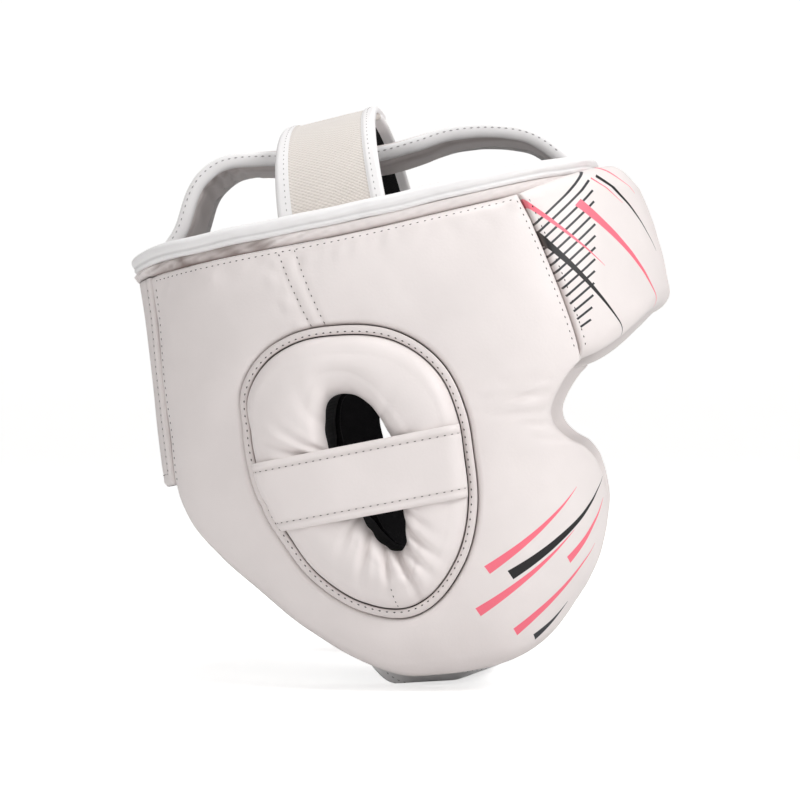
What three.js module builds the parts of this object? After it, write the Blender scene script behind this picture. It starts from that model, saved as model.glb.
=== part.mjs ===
// Boxing headgear: a padded guard that wraps the brow, cheeks, jaw and ears, open over the crown
// and the face, with two crown straps, a flap closure at the nape and a chin strap.
// It lies on a level surface as it does off the head: front tipped up, resting on its chin strap.
//
// Frame: millimetres, +Z up, the face towards -Y, the wearer's right ear towards -X.
// The pads are drawn in a worn frame first: level, with the ear line in the plane y = 0 and the
// lowest cheek edge at z = 0. A place on the shell is a turn round the head, in degrees from the
// middle of the face and positive towards the right ear, a height, and a depth below the leather.
import * as THREE from "three";

// Shell, outside the leather.
const SHELL_WIDTH = 214;
const FRONT_REACH = 128;
const BACK_REACH = 147;
const SHELL_HEIGHT = 216;
const FRONT_TOP_LIFT = 4;
const BACK_TOP_LIFT = 7;
const OVAL_POWER = 2.35;
const EAR_ARC_SHARE = 1.03;

// Pads, linings and seams.
const BROW_THICKNESS = 30;
const SIDE_THICKNESS = 26;
const LINING_THICKNESS = 2;
const LAYER_GAP = 0.45;
const SEAM_GAP = 0.7;
const SEAM_ROUNDING = 5;
const SEAM_BLEND_STEPS = 3;
const TOP_ROUNDING_LEAST = 1.5;
const CHEEK_ROUNDING = 11;
const BROW_FOOT_ROUNDING = 9;
const BROW_ARCH = 18;
const BROW_ARCH_SPREAD = 1.35;
const BROW_CREST_RISE = 8;

// Where the seams run, as turns round the head.
const FRONT_SEAM_TOP_TURN = 51.6;
const FRONT_SEAM_FOOT_TURN = 48.2;
const BACK_SEAM_TURN = 158;

// Ear pad, its hole, the welt round it and the strap across it.
const EAR_TURN = 106;
const EAR_HEIGHT = 99;
const EAR_OPENING_HEIGHT = 144;
const EAR_PAD_PROUD = 6;
const EAR_PAD_EDGE_ROUNDING = 9;
const EAR_HOLE_ROUNDING = 11;
const EAR_HOLE_HEIGHT = 80;
const WELT_WIDTH = 4;
const WELT_PROUD = 2;
const WELT_DEPTH = 9;
const EAR_STRAP_WIDTH = 34;
const EAR_STRAP_THICKNESS = 2.6;
const EAR_STRAP_RISE = 2.2;
const EAR_STRAP_SLOPE = 1.5;
const EAR_STRAP_GAP = 0.7;

// Top flange and the fat binding on it.
const FLANGE_THICKNESS = 3;
const FLANGE_HEIGHT = 5;
const RIM_THICKNESS = 6.5;
const RIM_HEIGHT = 8.6;
const RIM_INSET_FRONT = 21;
const RIM_INSET_SIDE = 7.5;
const RIM_INSET_BACK = 2.2;

// Flap closure at the nape.
const FLAP_THICKNESS = 3;
const FLAP_HEIGHT = 98;
const FLAP_END_TURN = 191;
const FLAP_STEP_TURN = 9;

// Crown band, fore and aft, and the crown strap, ear to ear.
const CROWN_RISE = 48;
const BAND_WIDTH = 40;
const BAND_THICKNESS = 13;
const PIPING_DIAMETER = 5;
const STRAP_WIDTH = 47;
const STRAP_THICKNESS = 3;
const STRAP_MIDDLE = 20;
const STRAP_CLEARANCE = 1.6;
const STRAP_FOOT_FLARE = 7;
const STRAP_TAIL_LIFT = 3;
const STRAP_OVERLAP = 26;

// Chin strap, and how the headgear lies on it.
const CHIN_STRAP_WIDTH = 40;
const CHIN_STRAP_THICKNESS = 3;
const CHIN_STRAP_OVERLAP = 12;
const CHIN_STRAP_TURN = 122;
const CHIN_STRAP_SLANT = 32;
const JAW_TOP = 0.4;
const CHIN_ANCHOR_LENGTH = 34;
const CHIN_ANCHOR_GAP = 1.2;
const CHIN_TURN_IN = 5;
const CHIN_FRONT_TURN_IN = 30;
const CHIN_CLIMB_GAP = 1.5;
const CHIN_FRONT_RISE = 6.5;
const CHIN_FLAT_SHARE = -0.1;
const CHIN_FORWARD_DROP = 21;
const CHIN_FORWARD_SWEEP = 12;
const REST_CLEARANCE = 7.4;
const REST_PITCH = 12.5;

// Sections of the shell from the lowest cheek edge up. The rise is a share of SHELL_HEIGHT, and
// the rest are shares of the half width, the front reach and the back reach.
const SHELL_SECTIONS = [
  { rise: -0.059, side: 0.73, front: 0.34, back: 0.84 },
  { rise: 0, side: 0.77, front: 0.38, back: 0.86 },
  { rise: 0.069, side: 0.82, front: 0.445, back: 0.89 },
  { rise: 0.167, side: 0.895, front: 0.57, back: 0.925 },
  { rise: 0.275, side: 0.95, front: 0.65, back: 0.955 },
  { rise: 0.412, side: 0.985, front: 0.705, back: 0.985 },
  { rise: 0.53, side: 1.0, front: 0.85, back: 1.0 },
  { rise: 0.648, side: 0.99, front: 0.975, back: 0.99 },
  { rise: 0.785, side: 0.965, front: 1.0, back: 0.97 },
  { rise: 0.923, side: 0.918, front: 0.99, back: 0.95 },
  { rise: 1.06, side: 0.862, front: 0.945, back: 0.94 },
];

// Free edge of a side pad, from the foot of the front seam round the eye notch, the cheek and
// the jaw up to the nape. The rise is a share of SHELL_HEIGHT.
const CHEEK_EDGE = [
  { turn: 48.2, rise: 0.623 },
  { turn: 51.2, rise: 0.601 },
  { turn: 54.6, rise: 0.561 },
  { turn: 56.2, rise: 0.525 },
  { turn: 54.8, rise: 0.491 },
  { turn: 50.5, rise: 0.459 },
  { turn: 43.5, rise: 0.43 },
  { turn: 36.5, rise: 0.383 },
  { turn: 32.4, rise: 0.309 },
  { turn: 33.2, rise: 0.231 },
  { turn: 37.0, rise: 0.157 },
  { turn: 44.0, rise: 0.098 },
  { turn: 54.0, rise: 0.049 },
  { turn: 69.0, rise: 0.013 },
  { turn: 88.0, rise: 0 },
  { turn: 105.0, rise: 0.006 },
  { turn: 117.0, rise: 0.023 },
  { turn: 127.0, rise: 0.08 },
  { turn: 135.0, rise: 0.162 },
  { turn: 143.5, rise: 0.27 },
  { turn: 151.0, rise: 0.36 },
  { turn: 156.5, rise: 0.439 },
  { turn: 158.0, rise: 0.52 },
];
const CHEEK_EDGE_STEPS = 32;
const FRONT_SEAM_STEPS = 4;
const BACK_SEAM_STEPS = 3;
const TOP_EDGE_STEPS = 8;

// Outline of the ear opening, outside its welt: reach from the middle of the ear as a share of
// EAR_OPENING_HEIGHT by bearing, 0 towards the back of the head and 90 straight up.
const EAR_OPENING_OUTLINE = [
  { bearing: 0, reach: 0.356 },
  { bearing: 20, reach: 0.392 },
  { bearing: 36, reach: 0.45 },
  { bearing: 48, reach: 0.523 },
  { bearing: 60, reach: 0.556 },
  { bearing: 72, reach: 0.552 },
  { bearing: 90, reach: 0.52 },
  { bearing: 114, reach: 0.495 },
  { bearing: 134, reach: 0.458 },
  { bearing: 156, reach: 0.396 },
  { bearing: 178, reach: 0.357 },
  { bearing: 205, reach: 0.366 },
  { bearing: 235, reach: 0.407 },
  { bearing: 268, reach: 0.456 },
  { bearing: 290, reach: 0.436 },
  { bearing: 312, reach: 0.392 },
  { bearing: 336, reach: 0.354 },
  { bearing: 360, reach: 0.356 },
];

// Outline of the ear hole, wide above and narrow below: reach as a share of EAR_HOLE_HEIGHT.
const EAR_HOLE_OUTLINE = [
  { bearing: 0, reach: 0.19 },
  { bearing: 30, reach: 0.235 },
  { bearing: 52, reach: 0.32 },
  { bearing: 64, reach: 0.44 },
  { bearing: 76, reach: 0.545 },
  { bearing: 90, reach: 0.525 },
  { bearing: 102, reach: 0.45 },
  { bearing: 118, reach: 0.335 },
  { bearing: 138, reach: 0.26 },
  { bearing: 165, reach: 0.19 },
  { bearing: 190, reach: 0.165 },
  { bearing: 215, reach: 0.18 },
  { bearing: 240, reach: 0.285 },
  { bearing: 258, reach: 0.43 },
  { bearing: 270, reach: 0.4 },
  { bearing: 284, reach: 0.3 },
  { bearing: 300, reach: 0.21 },
  { bearing: 330, reach: 0.175 },
  { bearing: 360, reach: 0.19 },
];

// Crest of the brow pad: how far back as a share of its depth, the rise as a share of
// BROW_CREST_RISE, and how far it falls away as a share of its depth.
const BROW_CREST = [
  { back: 0, rise: 0.3, fall: 0.45 },
  { back: 0.2, rise: 0.8, fall: 0.1 },
  { back: 0.5, rise: 1, fall: 0 },
  { back: 0.78, rise: 0.5, fall: 0 },
  { back: 0.97, rise: 0, fall: 0 },
];

// Middle line of the crown band between its two anchors. The run goes from the back anchor at 0
// to the front anchor at 1, the rise is a share of CROWN_RISE above the binding, and the
// thickness is a share of BAND_THICKNESS.
const BAND_LINE = [
  { run: 0.035, rise: -0.05, thickness: 0.55 },
  { run: 0.085, rise: 0.18, thickness: 0.6 },
  { run: 0.13, rise: 0.53, thickness: 0.62 },
  { run: 0.168, rise: 0.69, thickness: 0.66 },
  { run: 0.22, rise: 0.773, thickness: 0.7 },
  { run: 0.3, rise: 0.73, thickness: 0.86 },
  { run: 0.42, rise: 0.61, thickness: 0.96 },
  { run: 0.55, rise: 0.507, thickness: 1.0 },
  { run: 0.66, rise: 0.52, thickness: 0.92 },
  { run: 0.73, rise: 0.552, thickness: 0.74 },
  { run: 0.8, rise: 0.525, thickness: 0.62 },
  { run: 0.865, rise: 0.45, thickness: 0.54 },
  { run: 0.915, rise: 0.346, thickness: 0.5 },
  { run: 0.95, rise: 0.2, thickness: 0.46 },
  { run: 0.978, rise: 0.03, thickness: 0.46 },
];
const BAND_TAIL_THICKNESS = 0.46;

// Half of the section of the rim binding, from its foot up: the rise as a share of RIM_HEIGHT,
// and how far out it reaches as a share of half its thickness.
const RIM_SECTION = [
  { rise: 0, out: 0.6 },
  { rise: 0.2, out: 1 },
  { rise: 0.75, out: 1 },
  { rise: 1, out: 0.4 },
];

// Section of the crown band, one corner of four: shares of half its width and half its thickness.
const BAND_CORNER = [
  { across: 1, up: 0.7 },
  { across: 0.7, up: 1 },
];

// Finishes.
const FINISHES = {
  leather: { color: 0xe9e4e2, roughness: 0.42 },
  binding: { color: 0xf4f2f1, roughness: 0.5 },
  lining: { color: 0x17151a, roughness: 0.95 },
  hookAndLoop: { color: 0xe6e0da, roughness: 0.95 },
};

const halfWidth = SHELL_WIDTH / 2;
const millimetresPerTurn = (Math.PI / 180) * halfWidth * EAR_ARC_SHARE;
const seamGapTurn = SEAM_GAP / millimetresPerTurn;
const flangeFoot = SHELL_HEIGHT + LAYER_GAP;
const flangeTop = flangeFoot + FLANGE_HEIGHT;
const rimTop = flangeTop + LAYER_GAP + RIM_HEIGHT;

const lerp = THREE.MathUtils.lerp;
const radians = THREE.MathUtils.degToRad;
const degrees = THREE.MathUtils.radToDeg;

// Smooth value of one column of a table whose rows climb in another.
function smoothValue(rows, by, column, at) {
  const last = rows.length - 1;
  const found = rows.findIndex((row) => row[by] > at);
  const upper = found < 0 ? last : Math.max(found, 1);
  const slope = (index) => {
    const before = rows[Math.max(index - 1, 0)];
    const after = rows[Math.min(index + 1, last)];
    return (after[column] - before[column]) / (after[by] - before[by]);
  };
  const from = rows[upper - 1];
  const to = rows[upper];
  const span = to[by] - from[by];
  const share = THREE.MathUtils.clamp((at - from[by]) / span, 0, 1);
  const ease = share * share * (3 - 2 * share);
  const leave = slope(upper - 1) * span * share * (1 - share) * (1 - share);
  const arrive = slope(upper) * span * share * share * (share - 1);
  return lerp(from[column], to[column], ease) + leave + arrive;
}

// Distance from the middle of an oval of power p to its edge.
function ovalReach(angle, across, along, power) {
  const first = Math.abs(Math.cos(angle) / along) ** power;
  const second = Math.abs(Math.sin(angle) / across) ** power;
  return (first + second) ** (-1 / power);
}

// Point on the outside of the shell, in the worn frame.
function shellPoint(turn, height) {
  const rise = height / SHELL_HEIGHT;
  const angle = radians(turn);
  const across = halfWidth * smoothValue(SHELL_SECTIONS, "rise", "side", rise);
  const front = FRONT_REACH * smoothValue(SHELL_SECTIONS, "rise", "front", rise);
  const back = BACK_REACH * smoothValue(SHELL_SECTIONS, "rise", "back", rise);
  const along = Math.cos(angle) > 0 ? front : back;
  const reach = ovalReach(angle, across, along, OVAL_POWER);
  return new THREE.Vector3(-reach * Math.sin(angle), -reach * Math.cos(angle), height);
}

// Point at a level depth below the outside of the shell.
function place(turn, height, depth) {
  const step = 0.5;
  const point = shellPoint(turn, height);
  const along = shellPoint(turn + step, height).sub(shellPoint(turn - step, height));
  const inward = new THREE.Vector3(along.y, -along.x, 0).normalize();
  return point.addScaledVector(inward, depth);
}

// Lift of the top edge, which dips at the ears.
function topLift(turn) {
  const facing = Math.cos(radians(turn));
  return (facing > 0 ? FRONT_TOP_LIFT : BACK_TOP_LIFT) * facing * facing;
}

function topHeight(turn) {
  return SHELL_HEIGHT + topLift(turn);
}

// Depth of the middle of the top flange below the leather.
function rimInset(turn) {
  const facing = Math.cos(radians(turn));
  const end = facing > 0 ? RIM_INSET_FRONT : RIM_INSET_BACK;
  return lerp(RIM_INSET_SIDE, end, facing * facing);
}

// Rounding of a pad's top edge, which leaves the flange a level seat.
function topRounding(turn) {
  return Math.max(rimInset(turn) - FLANGE_THICKNESS / 2 - LAYER_GAP, TOP_ROUNDING_LEAST);
}

function frontSeamTurn(height) {
  const foot = CHEEK_EDGE[0].rise * SHELL_HEIGHT;
  return lerp(FRONT_SEAM_FOOT_TURN, FRONT_SEAM_TOP_TURN, (height - foot) / (SHELL_HEIGHT - foot));
}

// Closed solid through closed sections of equal count. Closed lengthwise it is a ring; otherwise
// the two end sections are capped in strips between their first and last points.
function sweep(sections, ring) {
  const count = sections[0].length;
  const positions = sections.flat().flatMap((point) => [point.x, point.y, point.z]);
  const faces = [];
  const spans = ring ? sections.length : sections.length - 1;
  for (let i = 0; i < spans; i += 1) {
    const here = i * count;
    const next = ((i + 1) % sections.length) * count;
    for (let j = 0; j < count; j += 1) {
      const k = (j + 1) % count;
      faces.push(here + j, next + j, next + k);
      faces.push(here + j, next + k, here + k);
    }
  }
  if (!ring) {
    const end = (sections.length - 1) * count;
    for (const cap of [{ start: 0, flip: false }, { start: end, flip: true }]) {
      let low = 0;
      let high = count - 1;
      while (high - low > 1) {
        const towardsLow = (high - low) % 2 === 0;
        const third = towardsLow ? low + 1 : high - 1;
        const corners = [cap.start + low, cap.start + third, cap.start + high];
        faces.push(...(cap.flip ? corners.reverse() : corners));
        low = towardsLow ? low + 1 : low;
        high = towardsLow ? high : high - 1;
      }
    }
  }
  const geometry = new THREE.BufferGeometry();
  geometry.setAttribute("position", new THREE.Float32BufferAttribute(positions, 3));
  geometry.setIndex(enclosedVolume(positions, faces) < 0 ? faces.reverse() : faces);
  geometry.computeVertexNormals();
  return geometry;
}

// Signed volume inside a triangle mesh, positive when its faces point out.
function enclosedVolume(positions, faces) {
  const corner = (index) => new THREE.Vector3().fromArray(positions, faces[index] * 3);
  let total = 0;
  for (let i = 0; i < faces.length; i += 3) {
    total += corner(i).dot(corner(i + 1).cross(corner(i + 2))) / 6;
  }
  return total;
}

function piece(name, geometry, finish) {
  const material = new THREE.MeshStandardMaterial({ ...FINISHES[finish], metalness: 0 });
  const mesh = new THREE.Mesh(geometry, material);
  mesh.name = name;
  return mesh;
}

// A quarter-round border of a pad from its side wall to its crown, as insets and drops.
function border(rounding) {
  const corner = rounding * (1 - Math.SQRT1_2);
  return [
    { inset: 0, drop: rounding },
    { inset: corner, drop: corner },
    { inset: rounding, drop: 0 },
  ];
}

// Rays from the middle of the ear to the outline of a side pad. A ray holds its bearing, its
// reach to the outline and the rounding of the pad's edge there.
function sideRays() {
  const flat = (turn, height) => new THREE.Vector3(
    (turn - EAR_TURN) * millimetresPerTurn, height - EAR_HEIGHT, 0);
  const rays = [];
  const addRay = (spot, rounding) => {
    const bearing = Math.atan2(spot.y, spot.x);
    rays.push({ bearing, reach: spot.length(), rounding });
  };
  const cheekTop = CHEEK_EDGE[0].rise * SHELL_HEIGHT;
  for (let i = 0; i < FRONT_SEAM_STEPS; i += 1) {
    const height = lerp(topHeight(FRONT_SEAM_TOP_TURN), cheekTop, i / FRONT_SEAM_STEPS);
    addRay(flat(frontSeamTurn(height) + seamGapTurn / 2, height), SEAM_ROUNDING);
  }
  const edge = new THREE.CatmullRomCurve3(CHEEK_EDGE.map((row) => flat(
    THREE.MathUtils.clamp(row.turn, 0, BACK_SEAM_TURN), row.rise * SHELL_HEIGHT)));
  edge.getSpacedPoints(CHEEK_EDGE_STEPS).forEach((spot, index) => {
    const fromEnd = Math.min(index, CHEEK_EDGE_STEPS - index);
    addRay(spot, lerp(SEAM_ROUNDING, CHEEK_ROUNDING, Math.min(fromEnd / SEAM_BLEND_STEPS, 1)));
  });
  const napeHeight = CHEEK_EDGE[CHEEK_EDGE.length - 1].rise * SHELL_HEIGHT;
  for (let i = 1; i <= BACK_SEAM_STEPS; i += 1) {
    const height = lerp(napeHeight, topHeight(BACK_SEAM_TURN), i / BACK_SEAM_STEPS);
    const rounding = i === BACK_SEAM_STEPS ? topRounding(BACK_SEAM_TURN) : SEAM_ROUNDING;
    addRay(flat(BACK_SEAM_TURN, height), rounding);
  }
  for (let i = 1; i < TOP_EDGE_STEPS; i += 1) {
    const turn = lerp(BACK_SEAM_TURN, FRONT_SEAM_TOP_TURN, i / TOP_EDGE_STEPS);
    addRay(flat(turn, topHeight(turn)), topRounding(turn));
  }
  return rays;
}

// Point on a ray from the ear at a distance and a depth, on the given side of the head.
function onRay(ray, distance, depth, side) {
  const turn = EAR_TURN + (distance * Math.cos(ray.bearing)) / millimetresPerTurn;
  const height = EAR_HEIGHT + distance * Math.sin(ray.bearing);
  return place(turn * side, height, depth);
}

// Reach of an outline table at a bearing in radians, as a share of its height.
function outlineReach(outline, bearing) {
  const full = ((degrees(bearing) % 360) + 360) % 360;
  return smoothValue(outline, "bearing", "reach", full);
}

// Distances from the middle of the ear at which the pieces round it begin and end.
function earStations({ bearing }) {
  const hole = EAR_HOLE_HEIGHT * outlineReach(EAR_HOLE_OUTLINE, bearing);
  const weltOutside = EAR_OPENING_HEIGHT * outlineReach(EAR_OPENING_OUTLINE, bearing);
  const weltInside = weltOutside - WELT_WIDTH;
  return {
    hole, pad: weltInside - LAYER_GAP, weltInside, weltOutside, panel: weltOutside + LAYER_GAP,
  };
}

function earPadReach(bearing) {
  return earStations({ bearing }).pad;
}

const PANEL_SHARES = [0.3, 0.65];
const PANEL_BACK_SHARES = [0.75, 0.5, 0.25];

function sidePad(rays, side) {
  const sections = rays.map((ray) => {
    const { panel } = earStations(ray);
    const inner = border(SEAM_ROUNDING);
    const outer = border(ray.rounding).reverse();
    const share = (part) => lerp(panel, ray.reach, part);
    return [
      ...inner.map((row) => onRay(ray, panel + row.inset, row.drop, side)),
      ...PANEL_SHARES.map((part) => onRay(ray, share(part), 0, side)),
      ...outer.map((row) => onRay(ray, ray.reach - row.inset, row.drop, side)),
      onRay(ray, ray.reach, SIDE_THICKNESS, side),
      ...PANEL_BACK_SHARES.map((part) => onRay(ray, share(part), SIDE_THICKNESS, side)),
      onRay(ray, panel, SIDE_THICKNESS, side),
    ];
  });
  return sweep(sections, true);
}

function earPad(rays, side) {
  const sections = rays.map((ray) => {
    const { hole, pad } = earStations(ray);
    const inner = border(EAR_HOLE_ROUNDING);
    const outer = border(EAR_PAD_EDGE_ROUNDING).reverse();
    return [
      ...inner.map((row) => onRay(ray, hole + row.inset, row.drop - EAR_PAD_PROUD, side)),
      ...outer.map((row) => onRay(ray, pad - row.inset, row.drop - EAR_PAD_PROUD, side)),
      onRay(ray, pad, SIDE_THICKNESS, side),
      onRay(ray, (hole + pad) / 2, SIDE_THICKNESS, side),
      onRay(ray, hole, SIDE_THICKNESS, side),
    ];
  });
  return sweep(sections, true);
}

function earWelt(rays, side) {
  const sections = rays.map((ray) => {
    const { weltInside, weltOutside } = earStations(ray);
    const middle = (weltInside + weltOutside) / 2;
    return [
      onRay(ray, weltInside, WELT_DEPTH, side),
      onRay(ray, weltInside, -WELT_PROUD / 2, side),
      onRay(ray, middle, -WELT_PROUD, side),
      onRay(ray, weltOutside, -WELT_PROUD / 2, side),
      onRay(ray, weltOutside, WELT_DEPTH, side),
    ];
  });
  return sweep(sections, true);
}

function sideLining(rays, side) {
  const outerFace = SIDE_THICKNESS + LAYER_GAP;
  const innerFace = outerFace + LINING_THICKNESS;
  const sections = rays.map((ray) => {
    const { hole, pad, panel } = earStations(ray);
    const share = (part) => lerp(panel, ray.reach, part);
    const backing = [1, ...PANEL_BACK_SHARES].map(share);
    const outerStops = [...backing, panel, pad, (hole + pad) / 2, hole];
    const innerStops = [hole, pad, share(0.5), ray.reach];
    return [
      ...outerStops.map((stop) => onRay(ray, stop, outerFace, side)),
      ...innerStops.map((stop) => onRay(ray, stop, innerFace, side)),
    ];
  });
  return sweep(sections, true);
}

// Depth of the ear pad's leather at a distance inside its outline.
function earPadDepth(insideEdge) {
  const rows = border(EAR_PAD_EDGE_ROUNDING);
  const upper = Math.max(rows.findIndex((row) => row.inset >= insideEdge), 1);
  const from = rows[upper - 1];
  const to = rows[upper];
  if (insideEdge >= EAR_PAD_EDGE_ROUNDING) {
    return -EAR_PAD_PROUD;
  }
  const share = (insideEdge - from.inset) / (to.inset - from.inset);
  return lerp(from.drop, to.drop, share) - EAR_PAD_PROUD;
}

// Strap across the ear hole, lying on the ear pad and ending at the welt.
function earStrap(side) {
  const across = [-0.5, -0.2, 0.2, 0.5];
  const halvings = 24;
  const lineHeight = (run, share) => share * EAR_STRAP_WIDTH + EAR_STRAP_RISE
    + run * Math.tan(radians(EAR_STRAP_SLOPE));
  const edgeRun = (share, direction, inset) => {
    let near = 0;
    let far = EAR_OPENING_HEIGHT;
    for (let i = 0; i < halvings; i += 1) {
      const run = (near + far) / 2;
      const height = lineHeight(run * direction, share);
      const bearing = Math.atan2(height, run * direction);
      const inside = Math.hypot(run, height) < earPadReach(bearing) - inset;
      near = inside ? run : near;
      far = inside ? far : run;
    }
    return near * direction;
  };
  const facePoint = (run, share, lift) => {
    const height = lineHeight(run, share);
    const insideEdge = earPadReach(Math.atan2(height, run)) - Math.hypot(run, height);
    const turn = EAR_TURN + run / millimetresPerTurn;
    const depth = earPadDepth(insideEdge + EAR_STRAP_GAP) - lift;
    return place(turn * side, EAR_HEIGHT + height, depth);
  };
  const insets = border(EAR_PAD_EDGE_ROUNDING).map((row) => (
    Math.max(row.inset - EAR_STRAP_GAP, LAYER_GAP)));
  const crownRun = (direction) => (share) => edgeRun(share, direction, insets[insets.length - 1]);
  const middleShares = [0.2, 0.4, 0.6, 0.8];
  const runs = [
    ...insets.map((inset) => (share) => edgeRun(share, -1, inset)),
    ...middleShares.map((part) => (share) => lerp(crownRun(-1)(share), crownRun(1)(share), part)),
    ...[...insets].reverse().map((inset) => (share) => edgeRun(share, 1, inset)),
  ];
  const outside = EAR_STRAP_GAP + EAR_STRAP_THICKNESS;
  const sections = runs.map((run) => [
    ...across.map((share) => facePoint(run(share), share, EAR_STRAP_GAP)),
    ...[...across].reverse().map((share) => facePoint(run(share), share, outside)),
  ]);
  return sweep(sections, false);
}

// Height of the brow pad's lower edge at a share of the way from the middle to the seam.
function browFoot(part) {
  const seamFoot = CHEEK_EDGE[0].rise * SHELL_HEIGHT;
  return seamFoot + BROW_ARCH * THREE.MathUtils.smoothstep(BROW_ARCH_SPREAD * (1 - Math.abs(part)), 0, 1);
}

// Stations across the brow from the left seam to the right, closer where the pad rounds off.
function browStations() {
  const seamReach = frontSeamTurn(SHELL_HEIGHT) * millimetresPerTurn;
  const rounding = border(SEAM_ROUNDING);
  const ends = rounding.map((row) => ({ part: 1 - row.inset / seamReach, drop: row.drop }));
  const innerSteps = 16;
  const inner = ends[ends.length - 1].part;
  const stations = ends.map((row) => ({ part: -row.part, drop: row.drop }));
  for (let i = 1; i < innerSteps; i += 1) {
    stations.push({ part: lerp(-inner, inner, i / innerSteps), drop: 0 });
  }
  return stations.concat([...ends].reverse());
}

function browPoint(part, height, depth) {
  return place(part * (frontSeamTurn(height) - seamGapTurn / 2), height, depth);
}

// Puffed crest of the brow pad from its face back to the seat of the flange.
function browCrest(part) {
  const turn = part * FRONT_SEAM_TOP_TURN;
  const depth = topRounding(turn);
  const rise = BROW_CREST_RISE * (1 - part * part);
  return BROW_CREST.map((row) => ({
    drop: row.back * depth,
    height: topHeight(turn) + row.rise * rise - row.fall * depth,
  }));
}

function browPad() {
  const sections = browStations().map(({ part, drop }) => {
    const foot = browFoot(part);
    const top = topHeight(part * FRONT_SEAM_TOP_TURN);
    const sunk = (depth) => Math.max(depth, drop);
    return [
      ...border(BROW_FOOT_ROUNDING).map((row) => browPoint(part, foot + row.inset, sunk(row.drop))),
      browPoint(part, lerp(foot, top, 0.5), drop),
      ...browCrest(part).map((row) => browPoint(part, row.height, sunk(row.drop))),
      browPoint(part, top, BROW_THICKNESS),
      browPoint(part, lerp(foot, top, 0.5), BROW_THICKNESS),
      browPoint(part, foot, BROW_THICKNESS),
    ];
  });
  return sweep(sections, false);
}

function browLining() {
  const outerFace = BROW_THICKNESS + LAYER_GAP;
  const innerFace = outerFace + LINING_THICKNESS;
  const sections = browStations().map(({ part }) => {
    const top = topHeight(part * FRONT_SEAM_TOP_TURN);
    const rows = [browFoot(part), lerp(browFoot(part), top, 0.5), top];
    return [
      ...rows.map((height) => browPoint(part, height, outerFace)),
      ...[...rows].reverse().map((height) => browPoint(part, height, innerFace)),
    ];
  });
  return sweep(sections, false);
}

// One flap of the nape closure, from its seam round the back. The flap underneath steps in
// below the other one.
function napeFlap(side, underneath) {
  const steps = 10;
  const stepIn = FLAP_THICKNESS + LAYER_GAP;
  const foot = SHELL_HEIGHT - FLAP_HEIGHT;
  const start = BACK_SEAM_TURN + seamGapTurn;
  const sections = [];
  for (let i = 0; i <= steps; i += 1) {
    const turn = lerp(start, FLAP_END_TURN, i / steps);
    const sink = underneath ? THREE.MathUtils.smoothstep(turn - start, 0, FLAP_STEP_TURN) : 0;
    const depth = stepIn * sink;
    const top = topHeight(turn);
    const rows = [foot, lerp(foot, top, 0.5), top];
    sections.push([
      ...rows.map((height) => place(turn * side, height, depth)),
      ...[...rows].reverse().map((height) => place(turn * side, height, depth + FLAP_THICKNESS)),
    ]);
  }
  return sweep(sections, false);
}

// Point over the top edge of the shell, at a depth from the middle of the flange.
function rimPoint(turn, height, depth) {
  const point = place(turn, SHELL_HEIGHT, rimInset(turn) + depth);
  return point.setZ(height + topLift(turn));
}

function rimRing(section) {
  const steps = 44;
  const sections = [];
  for (let i = 0; i < steps; i += 1) {
    const turn = (360 * i) / steps;
    sections.push(section.map((row) => rimPoint(turn, row.height, row.depth)));
  }
  return sweep(sections, true);
}

function topFlange() {
  const half = FLANGE_THICKNESS / 2;
  return rimRing([
    { height: flangeFoot, depth: -half },
    { height: flangeTop, depth: -half },
    { height: flangeTop, depth: half },
    { height: flangeFoot, depth: half },
  ]);
}

function rimBinding() {
  const half = RIM_THICKNESS / 2;
  const foot = rimTop - RIM_HEIGHT;
  const outside = RIM_SECTION.map((row) => ({
    height: foot + row.rise * RIM_HEIGHT,
    depth: -row.out * half,
  }));
  const inside = [...outside].reverse().map((row) => ({ height: row.height, depth: -row.depth }));
  return rimRing([...outside, ...inside]);
}

// Middle line of the crown band in the plane x = 0, with its half thickness at each station.
// Both tails run straight down inside the binding and the flange.
function bandStations() {
  const clear = RIM_THICKNESS / 2 + LAYER_GAP;
  const tailHalf = (BAND_TAIL_THICKNESS * BAND_THICKNESS) / 2;
  const cornerX = BAND_WIDTH / 2 + LAYER_GAP + PIPING_DIAMETER;
  const cornerTurn = (reach) => degrees(Math.atan2(cornerX, reach));
  const inset = clear + Math.max(tailHalf, PIPING_DIAMETER / 2);
  const backAnchor = rimPoint(180 - cornerTurn(BACK_REACH), 0, inset).y;
  const frontAnchor = rimPoint(cornerTurn(FRONT_REACH - RIM_INSET_FRONT), 0, inset).y;
  const stations = BAND_LINE.map((row) => ({
    y: lerp(backAnchor, frontAnchor, row.run),
    z: rimTop + lerp(BACK_TOP_LIFT, FRONT_TOP_LIFT, row.run) + row.rise * CROWN_RISE,
    half: (row.thickness * BAND_THICKNESS) / 2,
  }));
  for (const [y, lift, add] of [
    [backAnchor, BACK_TOP_LIFT, "unshift"],
    [frontAnchor, FRONT_TOP_LIFT, "push"],
  ]) {
    stations[add]({ y, z: flangeTop + lift, half: tailHalf });
    stations[add]({ y, z: flangeFoot + lift, half: tailHalf });
  }
  return stations;
}

// Unit vector across the middle line of the band at a station, towards the outside.
function bandOutward(stations, index) {
  const before = stations[Math.max(index - 1, 0)];
  const after = stations[Math.min(index + 1, stations.length - 1)];
  return new THREE.Vector3(0, before.z - after.z, after.y - before.y).normalize().negate();
}

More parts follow.
